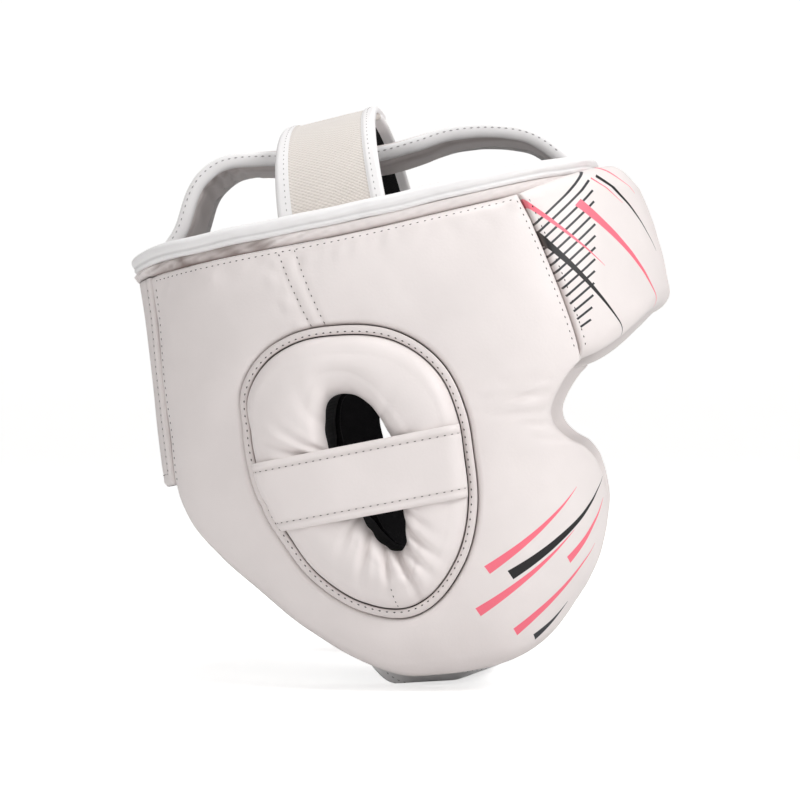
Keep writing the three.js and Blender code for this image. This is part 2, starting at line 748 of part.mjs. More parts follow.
function crownBand() {
  const stations = bandStations();
  const sections = stations.map((station, index) => {
    const middle = new THREE.Vector3(0, station.y, station.z);
    const outward = bandOutward(stations, index);
    const corner = (x, share) => middle.clone().addScaledVector(outward, share * station.half).setX(x);
    const half = BAND_WIDTH / 2;
    const quarter = BAND_CORNER.map((row) => corner(row.across * half, row.up));
    const mirrored = (points, xSign, upSign) => points.map((point, at) => (
      corner(xSign * point.x, upSign * BAND_CORNER[at].up)));
    return [
      ...mirrored(quarter, 1, 1),
      ...mirrored(quarter, -1, 1).reverse(),
      ...mirrored(quarter, -1, -1),
      ...mirrored(quarter, 1, -1).reverse(),
    ];
  });
  return sweep(sections, false);
}

function bandPiping(side) {
  const stations = bandStations();
  const centre = side * (BAND_WIDTH / 2 + LAYER_GAP + PIPING_DIAMETER / 2);
  const sides = 6;
  const sections = stations.map((station, index) => {
    const outward = bandOutward(stations, index);
    const ring = [];
    for (let i = 0; i < sides; i += 1) {
      const angle = (2 * Math.PI * (i + 0.5)) / sides;
      const point = new THREE.Vector3(0, station.y, station.z);
      point.addScaledVector(outward, (Math.cos(angle) * PIPING_DIAMETER) / 2);
      ring.push(point.setX(centre + (Math.sin(angle) * PIPING_DIAMETER) / 2));
    }
    return ring;
  });
  return sweep(sections, false);
}

// Half of the crown strap, from inside the binding over the crown. The upper half passes over
// the lower one on the middle line.
function crownStrap(side, layer) {
  const stepUp = layer * (STRAP_THICKNESS + LAYER_GAP);
  const crossing = bandStations().filter((station) => (
    Math.abs(station.y - STRAP_MIDDLE) < STRAP_WIDTH));
  const bandTop = Math.max(...crossing.map((station) => station.z + station.half));
  const under = bandTop + STRAP_CLEARANCE + stepUp;
  const clear = RIM_THICKNESS / 2 + LAYER_GAP;
  const steps = 12;
  const widths = [-0.5, 0, 0.5];
  const earSide = shellPoint(90, SHELL_HEIGHT);
  const pointAt = (share, part, lift) => {
    const flare = Math.max(share, 0) * 2 * STRAP_FOOT_FLARE * (1 - part);
    const y = STRAP_MIDDLE + share * STRAP_WIDTH + flare;
    const reach = shellPoint(180, SHELL_HEIGHT).y;
    const bow = (1 - (Math.abs(y) / reach) ** OVAL_POWER) ** (1 / OVAL_POWER);
    const foot = Math.abs(earSide.x) * bow - RIM_INSET_SIDE - clear - STRAP_THICKNESS;
    const beyond = Math.asin(STRAP_OVERLAP / 2 / foot);
    const angle = lerp(0, Math.PI / 2 + beyond, part);
    const x = (foot + lift) * Math.cos(angle);
    const z = rimTop - RIM_HEIGHT + (under - rimTop + RIM_HEIGHT + lift) * Math.sin(angle);
    return new THREE.Vector3(side * x, y, z);
  };
  const tail = (share, lift) => pointAt(share, 0, lift).setZ(flangeFoot + STRAP_TAIL_LIFT);
  const sections = [[
    ...widths.map((share) => tail(share, 0)),
    ...[...widths].reverse().map((share) => tail(share, STRAP_THICKNESS)),
  ]];
  for (let i = 0; i <= steps; i += 1) {
    sections.push([
      ...widths.map((share) => pointAt(share, i / steps, 0)),
      ...[...widths].reverse().map((share) => pointAt(share, i / steps, STRAP_THICKNESS)),
    ]);
  }
  return sweep(sections, false);
}

const worn = new THREE.Group();
const rays = sideRays();
worn.add(piece("brow_pad", browPad(), "leather"));
worn.add(piece("brow_lining", browLining(), "lining"));
for (const [label, side] of [["right", 1], ["left", -1]]) {
  worn.add(piece(`side_pad_${label}`, sidePad(rays, side), "leather"));
  worn.add(piece(`ear_pad_${label}`, earPad(rays, side), "leather"));
  worn.add(piece(`ear_welt_${label}`, earWelt(rays, side), "binding"));
  worn.add(piece(`ear_strap_${label}`, earStrap(side), "leather"));
  worn.add(piece(`side_lining_${label}`, sideLining(rays, side), "lining"));
  worn.add(piece(`nape_flap_${label}`, napeFlap(side, side < 0), "leather"));
  worn.add(piece(`crown_strap_${label}`, crownStrap(-side, side < 0 ? 0 : 1), "hookAndLoop"));
  worn.add(piece(`band_piping_${label}`, bandPiping(-side), "binding"));
}
worn.add(piece("top_flange", topFlange(), "leather"));
worn.add(piece("rim_binding", rimBinding(), "binding"));
worn.add(piece("crown_band", crownBand(), "leather"));
worn.rotation.x = -radians(REST_PITCH);

const group = new THREE.Group();
group.add(worn);
group.updateMatrixWorld(true);
worn.position.z = REST_CLEARANCE - new THREE.Box3().setFromObject(worn, true).min.z;
group.updateMatrixWorld(true);

// Point of the inside of a side lining, in the frame that the headgear lies in.
function lyingPoint(turn, height, depth) {
  return place(turn, height, depth).applyMatrix4(worn.matrixWorld);
}

// Half of the chin strap: from the inside of a cheek, square to the jaw edge, down to the
// surface, then flat across it and past the middle, sweeping forward to where the chin goes.
// The upper half lies on the lower one.
function chinStrap(side, layer) {
  const depth = SIDE_THICKNESS + LAYER_GAP + LINING_THICKNESS + CHIN_ANCHOR_GAP;
  const half = CHIN_STRAP_WIDTH / 2;
  const stepUp = layer * (CHIN_STRAP_THICKNESS + LAYER_GAP);
  const slant = radians(CHIN_STRAP_SLANT);
  const jaw = CHEEK_EDGE.filter((row) => row.turn > FRONT_SEAM_TOP_TURN && row.rise < JAW_TOP);
  const edgeHeight = SHELL_HEIGHT * smoothValue(jaw, "turn", "rise", CHIN_STRAP_TURN);
  const onCheek = (share, up, lift) => {
    const run = share * half * Math.cos(slant) + up * Math.sin(slant);
    const climb = share * half * Math.sin(slant) + up * Math.cos(slant);
    const turn = CHIN_STRAP_TURN + run / millimetresPerTurn;
    const point = lyingPoint(turn, edgeHeight + climb, depth + lift);
    return point.setX(side * Math.abs(point.x));
  };
  const widths = [-1, CHIN_FLAT_SHARE, 1];
  const sections = [];
  const addSection = (pointAt) => {
    sections.push([
      ...widths.map((share) => pointAt(share, 0)),
      ...[...widths].reverse().map((share) => pointAt(share, CHIN_STRAP_THICKNESS)),
    ]);
  };
  for (const up of [CHIN_ANCHOR_LENGTH, CHIN_ANCHOR_LENGTH / 2, 0]) {
    addSection((share, lift) => onCheek(share, up, lift));
  }
  const edge = onCheek(0, 0, 0);
  const landing = (share) => (
    Math.abs(edge.x) - CHIN_TURN_IN - (CHIN_FRONT_TURN_IN * (1 - share)) / 2);
  const onSurface = (share, x, lift) => {
    const curl = Math.max(CHIN_FLAT_SHARE - share, 0) / (1 + CHIN_FLAT_SHARE);
    const forward = CHIN_FORWARD_DROP + CHIN_FORWARD_SWEEP * (1 - (x / landing(1)) ** 2);
    return new THREE.Vector3(side * x, edge.y - forward + share * half,
      lift + CHIN_FRONT_RISE * curl);
  };
  const bendSteps = 4;
  for (let i = 1; i <= bendSteps; i += 1) {
    const angle = (Math.PI / 2) * (i / bendSteps);
    addSection((share, lift) => {
      const from = onCheek(share, 0, 0);
      const to = onSurface(share, landing(share), 0);
      const x = lerp(landing(share), Math.abs(from.x), Math.cos(angle)) - lift * Math.cos(angle);
      const y = lerp(from.y, to.y, i / bendSteps);
      const z = lerp(from.z, to.z, Math.sin(angle)) + lift * Math.sin(angle);
      return new THREE.Vector3(side * x, y, z);
    });
  }
  const climbEnd = CHIN_STRAP_OVERLAP + CHIN_CLIMB_GAP;
  const climbParts = [0.35, 0.7, 1];
  for (const part of climbParts) {
    const climb = stepUp * THREE.MathUtils.smoothstep(part, 0, 1);
    addSection((share, lift) => onSurface(share, lerp(landing(share), climbEnd, part), lift + climb));
  }
  for (const x of [0, -CHIN_STRAP_OVERLAP]) {
    addSection((share, lift) => onSurface(share, x, lift + stepUp));
  }
  return sweep(sections, false);
}

group.add(piece("chin_strap_right", chinStrap(-1, 1), "binding"));
group.add(piece("chin_strap_left", chinStrap(1, 0), "binding"));

// The origin is set in the middle of the footprint, on the surface that the headgear lies on.
const extent = new THREE.Box3().setFromObject(group, true);
const middle = extent.getCenter(new THREE.Vector3());
for (const child of group.children) {
  child.position.x -= middle.x;
  child.position.y -= middle.y;
  child.position.z -= extent.min.z;
}

export default group;
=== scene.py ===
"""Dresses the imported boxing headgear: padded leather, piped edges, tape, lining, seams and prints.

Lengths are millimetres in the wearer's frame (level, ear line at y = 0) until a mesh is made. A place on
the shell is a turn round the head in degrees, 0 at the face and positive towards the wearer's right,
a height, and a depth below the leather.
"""

from __future__ import annotations

import logging
import math
from dataclasses import dataclass, field
from enum import Enum, IntEnum
from typing import Any, Sequence

import bpy
import numpy as np
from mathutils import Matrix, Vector
from mathutils.bvhtree import BVHTree


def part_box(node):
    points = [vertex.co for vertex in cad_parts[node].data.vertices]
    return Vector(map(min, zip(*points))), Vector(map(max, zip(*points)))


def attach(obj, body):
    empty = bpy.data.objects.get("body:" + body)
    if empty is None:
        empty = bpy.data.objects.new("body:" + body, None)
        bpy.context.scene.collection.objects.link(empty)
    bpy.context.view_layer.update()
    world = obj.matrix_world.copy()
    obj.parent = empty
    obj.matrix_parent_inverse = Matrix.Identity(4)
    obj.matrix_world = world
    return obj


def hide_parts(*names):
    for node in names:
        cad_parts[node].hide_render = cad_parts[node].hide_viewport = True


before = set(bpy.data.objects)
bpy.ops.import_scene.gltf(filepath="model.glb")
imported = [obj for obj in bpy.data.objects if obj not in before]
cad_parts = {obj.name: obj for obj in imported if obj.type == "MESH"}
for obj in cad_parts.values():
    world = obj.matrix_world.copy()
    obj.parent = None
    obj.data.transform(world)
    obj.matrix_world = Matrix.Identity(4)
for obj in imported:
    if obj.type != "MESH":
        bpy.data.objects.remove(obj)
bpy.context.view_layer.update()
LOG = logging.getLogger("headgear")
MM = 0.001
PICTURE = 800
# Millimetres of a ripple's pattern for a degree of turn
RIPPLE_ARC = 1.9
# Socket numbers of a colour mix node, whose sockets share their names
MIX_SHARE, MIX_UNDER, MIX_OVER, MIX_RESULT = 0, 6, 7, 2

Rows = Sequence[tuple[float, float]]
Spot = tuple[float, float]


class Side(IntEnum):
    """A side of the head, as the sign of its turn."""

    RIGHT = 1
    LEFT = -1

    @property
    def label(self) -> str:
        """Name of the side in node names."""
        return self.name.lower()


class Slot(str, Enum):
    """Material slots of the record."""

    LEATHER = "leather"
    BINDING = "binding"
    LINING = "lining"
    HOOK_AND_LOOP = "hook_and_loop"


# Numbers shared by the sub-assemblies


def smooth_value(rows: Rows, at: Any) -> np.ndarray:
    """Smooth value of a two-column table whose first column climbs.

    Args:
        rows: Pairs of place and value.
        at: Places to read.

    Returns:
        Values at the places, held at both ends.
    """
    xs = np.array([row[0] for row in rows], float)
    ys = np.array([row[1] for row in rows], float)
    at = np.asarray(at, float)
    last = len(xs) - 1
    high = np.clip(np.searchsorted(xs, at, side="right"), 1, last)
    low = high - 1
    slope = np.gradient(ys, xs, edge_order=1)
    slope[1:-1] = (ys[2:] - ys[:-2]) / (xs[2:] - xs[:-2])
    span = xs[high] - xs[low]
    share = np.clip((at - xs[low]) / span, 0, 1)
    ease = share * share * (3 - 2 * share)
    leave = slope[low] * span * share * (1 - share) ** 2
    arrive = slope[high] * span * share * share * (share - 1)
    return ys[low] + (ys[high] - ys[low]) * ease + leave + arrive


def smoothstep(value: Any, low: float, high: float) -> np.ndarray:
    """Smooth climb from 0 at low to 1 at high."""
    share = np.clip((np.asarray(value, float) - low) / (high - low), 0, 1)
    return share * share * (3 - 2 * share)


def bell(value: Any, middle: float, width: float) -> np.ndarray:
    """Smooth hump of height 1 at the middle that fades over the width."""
    return np.exp(-(((np.asarray(value) - middle) / width) ** 2))


def closed_section(over: np.ndarray, below: np.ndarray) -> np.ndarray:
    """Rows of the outer skin and then of the inner skin, back the other way."""
    return np.concatenate([over, below[:, ::-1]], axis=1)


def run_along(path: np.ndarray) -> np.ndarray:
    """Length along a path up to each of its points."""
    return np.concatenate([[0], np.cumsum(np.linalg.norm(np.diff(path, axis=0), axis=1))])


def ripple(x: Any, y: Any, scale: float, seed: int, waves: int = 7) -> np.ndarray:
    """Uneven, smooth waviness between about -1 and 1.

    Args:
        x: First coordinate.
        y: Second coordinate.
        scale: Length of a wave in the same unit.
        seed: Picks the pattern.
        waves: How many waves are added up.

    Returns:
        Height of the waviness.
    """
    rng = np.random.RandomState(seed)
    total = 0.0
    for _ in range(waves):
        angle = rng.uniform(0, 2 * math.pi)
        wave = 2 * math.pi / (scale * rng.uniform(0.7, 1.6))
        phase = rng.uniform(0, 2 * math.pi)
        total = total + np.sin(wave * (np.cos(angle) * x + np.sin(angle) * y) + phase)
    return total / math.sqrt(waves) * 0.7


def near_line(x: Any, y: Any, start: Spot, end: Spot) -> tuple[np.ndarray, np.ndarray]:
    """Signed distance from a straight line and the share along it.

    Args:
        x: First coordinate.
        y: Second coordinate.
        start: Start of the line.
        end: End of the line.

    Returns:
        Distance to the line's left and the share along it.
    """
    dx, dy = end[0] - start[0], end[1] - start[1]
    length = math.hypot(dx, dy)
    along = ((x - start[0]) * dx + (y - start[1]) * dy) / length**2
    across = ((x - start[0]) * dy - (y - start[1]) * dx) / length
    return across, along


def crease(x: Any, y: Any, start: Spot, end: Spot, width: float, depth: float) -> np.ndarray:
    """Outward relief of one crease: a narrow valley with a soft fold beside it.

    Args:
        x: First coordinate.
        y: Second coordinate.
        start: Start of the crease.
        end: End of the crease.
        width: Width of the valley.
        depth: Depth of the valley.

    Returns:
        Relief, negative in the valley.
    """
    across, along = near_line(x, y, start, end)
    fade = np.sin(np.pi * np.clip(along, 0, 1)) ** 0.7 * ((along > 0) & (along < 1))
    valley = bell(across, 0, width)
    fold = 0.6 * bell(across, 2.1 * width, 1.4 * width)
    return depth * fade * (fold - valley)


# The shell that every pad follows


@dataclass(frozen=True)
class Shell:
    """Outside of the pads: an oval whose width and reaches change with height."""

    width: float = 214.0
    front_reach: float = 128.0
    back_reach: float = 147.0
    height: float = 216.0
    front_lift: float = 4.0
    back_lift: float = 7.0
    power: float = 2.35
    arc_per_turn: float = math.radians(1) * 107.0 * 1.03
    rim_inset_front: float = 21.0
    rim_inset_side: float = 7.5
    rim_inset_back: float = 2.2
    flange_thickness: float = 3.0
    flange_height: float = 5.0
    rim_height: float = 8.6
    rim_thickness: float = 6.5
    gap: float = 0.45
    front_seam_top: float = 51.6
    front_seam_foot: float = 48.2
    back_seam: float = 158.0
    cheek_top: float = 0.623
    side: Rows = ((-0.059, 0.73), (0, 0.77), (0.069, 0.82), (0.167, 0.895), (0.275, 0.95),
                  (0.412, 0.985), (0.53, 1.0), (0.648, 0.99), (0.785, 0.965), (0.923, 0.918),
                  (1.06, 0.862))
    front: Rows = ((-0.059, 0.34), (0, 0.38), (0.069, 0.445), (0.167, 0.57), (0.275, 0.65),
                   (0.412, 0.705), (0.53, 0.85), (0.648, 0.975), (0.785, 1.0), (0.923, 0.99),
                   (1.06, 0.945))
    back: Rows = ((-0.059, 0.84), (0, 0.86), (0.069, 0.89), (0.167, 0.925), (0.275, 0.955),
                  (0.412, 0.985), (0.53, 1.0), (0.648, 0.99), (0.785, 0.97), (0.923, 0.95),
                  (1.06, 0.94))

    @property
    def rim_top(self) -> float:
        """Height of the rim over the ears."""
        return self.height + 2 * self.gap + self.flange_height + self.rim_height

    def point(self, turn: Any, height: Any) -> np.ndarray:
        """Points on the outside of the shell for turns and heights."""
        turn, height = np.broadcast_arrays(np.asarray(turn, float), np.asarray(height, float))
        rise, angle = height / self.height, np.radians(turn)
        across = self.width / 2 * smooth_value(self.side, rise)
        front = self.front_reach * smooth_value(self.front, rise)
        back = self.back_reach * smooth_value(self.back, rise)
        along = np.where(np.cos(angle) > 0, front, back)
        reach = (np.abs(np.cos(angle) / along) ** self.power
                 + np.abs(np.sin(angle) / across) ** self.power) ** (-1 / self.power)
        return np.stack([-reach * np.sin(angle), -reach * np.cos(angle), height], axis=-1)

    def place(self, turn: Any, height: Any, depth: Any) -> np.ndarray:
        """Points at a level depth below the outside of the shell.

        Args:
            turn: Turns in degrees.
            height: Heights.
            depth: Depths, negative outside.

        Returns:
            Points with the inputs' broadcast shape and a last axis of 3.
        """
        turn, height, depth = np.broadcast_arrays(*(np.asarray(v, float) for v in (turn, height, depth)))
        along = self.point(turn + 0.5, height) - self.point(turn - 0.5, height)
        inward = np.stack([along[..., 1], -along[..., 0], np.zeros_like(height)], axis=-1)
        inward /= np.linalg.norm(inward, axis=-1, keepdims=True)
        return self.point(turn, height) + inward * depth[..., None]

    def panel(self, turn: Any, height: Any) -> np.ndarray:
        """Panel coordinates in millimetres for turns and heights."""
        return np.stack(np.broadcast_arrays(turn * self.arc_per_turn, height), axis=-1)

    def top_lift(self, turn: Any) -> np.ndarray:
        """Lift of the top edge, which dips at the ears."""
        facing = np.cos(np.radians(turn))
        return np.where(facing > 0, self.front_lift, self.back_lift) * facing**2

    def top_height(self, turn: Any) -> np.ndarray:
        """Height of the pads' top edge."""
        return self.height + self.top_lift(turn)

    def rim_inset(self, turn: Any) -> np.ndarray:
        """Depth of the middle of the flange below the leather."""
        facing = np.cos(np.radians(turn))
        end = np.where(facing > 0, self.rim_inset_front, self.rim_inset_back)
        return self.rim_inset_side + (end - self.rim_inset_side) * facing**2

    def top_rounding(self, turn: Any) -> np.ndarray:
        """Rounding of a pad's top edge."""
        return np.maximum(self.rim_inset(turn) - self.flange_thickness / 2 - self.gap, 1.5)

    def front_seam(self, height: Any) -> np.ndarray:
        """Turn of the seam between brow and side pad at a height."""
        foot = self.cheek_top * self.height
        share = (np.asarray(height, float) - foot) / (self.height - foot)
        return self.front_seam_foot + (self.front_seam_top - self.front_seam_foot) * share

    def rim_point(self, turn: Any, height: Any, depth: Any) -> np.ndarray:
        """Points over the top edge, at a depth from the middle of the flange."""
        turn, height, depth = np.broadcast_arrays(*(np.asarray(v, float) for v in (turn, height, depth)))
        points = self.place(turn, self.height, self.rim_inset(turn) + depth)
        points[..., 2] = height + self.top_lift(turn)
        return points


@dataclass(frozen=True)
class Lie:
    """How the headgear lies: its pitch and where the wearer's frame ends up, in millimetres."""

    pitch: float
    shift: tuple[float, float, float]

    @staticmethod
    def turned(points: np.ndarray, pitch: float) -> np.ndarray:
        """Points tipped front up by a pitch in degrees."""
        c, s = math.cos(math.radians(pitch)), math.sin(math.radians(pitch))
        y, z = points[..., 1], points[..., 2]
        return np.stack([points[..., 0], y * c + z * s, -y * s + z * c], axis=-1)

    @classmethod
    def from_frame(cls, shell: Shell, pitch: float = 12.5) -> "Lie":
        """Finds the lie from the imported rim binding.

        Args:
            shell: The shell that the rim follows.
            pitch: Tip of the front in degrees.

        Returns:
            The lie that puts the rim where the frame has it.
        """
        turns = np.arange(44)[:, None] * 360 / 44
        half, foot = shell.rim_thickness / 2, shell.rim_top - shell.rim_height
        outs = np.array([0.6, 1, 1, 0.4, -0.4, -1, -1, -0.6]) * -half
        rises = foot + shell.rim_height * np.array([0, 0.2, 0.75, 1, 1, 0.75, 0.2, 0])
        ring = cls.turned(shell.rim_point(turns, rises, outs), pitch).reshape(-1, 3)
        low, high = (np.array(corner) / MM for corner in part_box("rim_binding"))
        shift = (low + high) / 2 - (ring.min(0) + ring.max(0)) / 2
        return cls(pitch, tuple(float(v) for v in shift))

    def world(self, points: np.ndarray) -> np.ndarray:
        """Points of the wearer's frame as they lie, in millimetres."""
        return self.turned(points, self.pitch) + np.array(self.shift)


# Mesh making


def add_mesh(name: str, points: np.ndarray, faces: np.ndarray | list, uv: np.ndarray | None = None,
             shade: np.ndarray | None = None) -> bpy.types.Object:
    """Makes one mesh object from points in millimetres.

    Args:
        name: Name of the piece.
        points: Corners, as they lie.
        faces: Corner numbers of each face.
        uv: Panel coordinates of each corner, in millimetres.
        shade: Share of seam shade at each corner.

    Returns:
        The new object, shaded smooth.
    """
    mesh = bpy.data.meshes.new(name)
    mesh.from_pydata((points * MM).tolist(), [], [list(map(int, f)) for f in faces])
    mesh.polygons.foreach_set("use_smooth", [True] * len(mesh.polygons))
    loops = np.empty(len(mesh.loops), np.int32)
    mesh.loops.foreach_get("vertex_index", loops)
    if uv is not None:
        layer = mesh.uv_layers.new(name="Panel")
        layer.data.foreach_set("uv", (uv[loops] * MM).astype(np.float32).ravel())
    seam = mesh.attributes.new("seam_shade", "FLOAT", "POINT")
    seam.data.foreach_set("value", (np.zeros(len(points)) if shade is None else shade).astype(np.float32))
    obj = bpy.data.objects.new(name, mesh)
    bpy.context.scene.collection.objects.link(obj)
    return obj


def loft(name: str, sections: np.ndarray, ring: bool = False, uv: np.ndarray | None = None,
         shade: np.ndarray | None = None, slots: Any = None) -> bpy.types.Object:
    """Closed skin through closed sections of equal count.

    Args:
        name: Name of the piece.
        sections: Points, sections by points by 3, in millimetres as they lie.
        ring: Whether the last section joins the first.
        uv: Panel coordinates for every point.
        shade: Seam shade for every point.
        slots: Material number of each strip between two points of a section, or of each face.

    Returns:
        The new object.
    """
    count, size = sections.shape[:2]
    spans = count if ring else count - 1
    i, j = np.meshgrid(np.arange(spans), np.arange(size), indexing="ij")
    k, m = (j + 1) % size, (i + 1) % count
    faces = np.stack([i * size + j, m * size + j, m * size + k, i * size + k], axis=-1).reshape(-1, 4)
    points = sections.reshape(-1, 3)
    a, b, c, d = (points[faces[:, q]] for q in range(4))
    centre = points.mean(0)
    volume = np.einsum("ij,ij->i", a - centre, np.cross(b - centre, c - centre)).sum()
    volume += np.einsum("ij,ij->i", a - centre, np.cross(c - centre, d - centre)).sum()
    flip = volume < 0
    listed = [list(f) for f in (faces[:, ::-1] if flip else faces)]
    if not ring:
        start, end = list(range(size)), list(range((count - 1) * size, count * size))
        listed += [start[::-1], end] if flip else [start, end[::-1]]
    obj = add_mesh(name, points, listed, None if uv is None else uv.reshape(-1, 2),
                   None if shade is None else shade.reshape(-1))
    if slots is not None:
        numbers = np.zeros(len(listed), np.int32)
        numbers[:len(faces)] = np.broadcast_to(np.asarray(slots), (spans, size)).reshape(-1)
        obj.data.polygons.foreach_set("material_index", numbers)
    return obj


@dataclass
class Stitching:
    """Rows of sewn stitches gathered into one mesh."""

    pitch: float = 3.5
    length: float = 2.1
    width: float = 0.85
    end_sink: float = 0.15
    side_sink: float = 0.1
    heading_reach: float = 0.3
    points: list[np.ndarray] = field(default_factory=list)
    faces: list[np.ndarray] = field(default_factory=list)
    count: int = 0

    def run(self, path: np.ndarray, outward: np.ndarray, lift: float = 0.32) -> None:
        """Adds one row of stitches.

        Args:
            path: Points on the leather in millimetres, as they lie.
            outward: Unit normals at the points.
            lift: How far the thread stands out.
        """
        run = run_along(path)
        at = np.arange(self.pitch / 2, run[-1], self.pitch)
        if len(at) == 0:
            return

        def pick(values: np.ndarray, where: np.ndarray) -> np.ndarray:
            """Values read at lengths along the path."""
            return np.stack([np.interp(where, run, values[:, a]) for a in range(3)], 1)

        centre, up = pick(path, at), pick(outward, at)
        ahead = pick(path, at + self.heading_reach) - pick(path, at - self.heading_reach)
        ahead /= np.linalg.norm(ahead, axis=1, keepdims=True) + 1e-9
        side = np.cross(up, ahead)
        along, wide = ahead * (self.length / 2), side * (self.width / 2)
        end_low, side_low = up * self.end_sink, up * self.side_sink
        corners = [centre - along - end_low, centre + wide - side_low, centre + up * lift,
                   centre - wide - side_low, centre + along - end_low]
        block = np.stack(corners, axis=1)
        pattern = np.array([[0, 1, 2], [0, 2, 3], [4, 2, 1], [4, 3, 2]])
        numbers = self.count + np.arange(len(at))[:, None, None] * len(corners) + pattern[None]
        self.points.append(block.reshape(-1, 3))
        self.faces.append(numbers.reshape(-1, 3))
        self.count += len(at) * len(corners)

    def build(self, name: str) -> bpy.types.Object:
        """Makes the mesh of all rows."""
        return add_mesh(name, np.concatenate(self.points), np.concatenate(self.faces))


# Materials


class Net:
    """A node tree with short calls for adding and joining nodes."""

    def __init__(self, tree: bpy.types.NodeTree) -> None:
        """Keeps the tree."""
        self.tree = tree

    def node(self, kind: str, **settings: Any) -> bpy.types.Node:
        """Adds a node and sets its named settings."""
        made = self.tree.nodes.new(kind)
        for key, value in settings.items():
            setattr(made, key, value)
        return made

    def feed(self, socket: bpy.types.NodeSocket, value: Any) -> None:
        """Joins a socket to another, or sets its value."""
        if isinstance(value, bpy.types.NodeSocket):
            self.tree.links.new(value, socket)
        else:
            socket.default_value = value

    def math(self, operation: str, *values: Any, clamp: bool = False) -> bpy.types.NodeSocket:
        """Result of a math node."""
        made = self.node("ShaderNodeMath", operation=operation, use_clamp=clamp)
        for socket, value in zip(made.inputs, values):
            self.feed(socket, value)
        return made.outputs[0]

    def vector(self, operation: str, *values: Any) -> bpy.types.Node:
        """A vector math node with its inputs joined."""
        made = self.node("ShaderNodeVectorMath", operation=operation)
        for socket, value in zip(made.inputs, values):
            self.feed(socket, value)
        return made

    def blend(self, share: Any, under: Any, over: Any) -> bpy.types.NodeSocket:
        """Colour that goes from under to over by a share."""
        made = self.node("ShaderNodeMix", data_type="RGBA")
        for number, value in ((MIX_SHARE, share), (MIX_UNDER, under), (MIX_OVER, over)):
            self.feed(made.inputs[number], value)
        return made.outputs[MIX_RESULT]

    def group(self, tree: bpy.types.NodeTree, **values: Any) -> bpy.types.Node:
        """Places a group, with its inputs by name and underscores for spaces."""
        made = self.node("ShaderNodeGroup", node_tree=tree)
        for key, value in values.items():
            self.feed(made.inputs[key.replace("_", " ").title()], value)
        return made


def new_group(name: str, ins: Sequence[tuple[str, str, Any]], outs: Sequence[tuple[str, str]]
              ) -> tuple[bpy.types.NodeTree, Net, Any, Any]:
    """Starts a shader node group.

    Args:
        name: Name of the group.
        ins: Name, socket kind and default of each input.
        outs: Name and socket kind of each output.

    Returns:
        The tree, its net, its input sockets and its output sockets.
    """
    tree = bpy.data.node_groups.new(name, "ShaderNodeTree")
    for label, kind, value in ins:
        made = tree.interface.new_socket(label, in_out="INPUT", socket_type=kind)
        if value is not None:
            made.default_value = value
    for label, kind in outs:
        tree.interface.new_socket(label, in_out="OUTPUT", socket_type=kind)
    net = Net(tree)
    return tree, net, net.node("NodeGroupInput").outputs, net.node("NodeGroupOutput").inputs


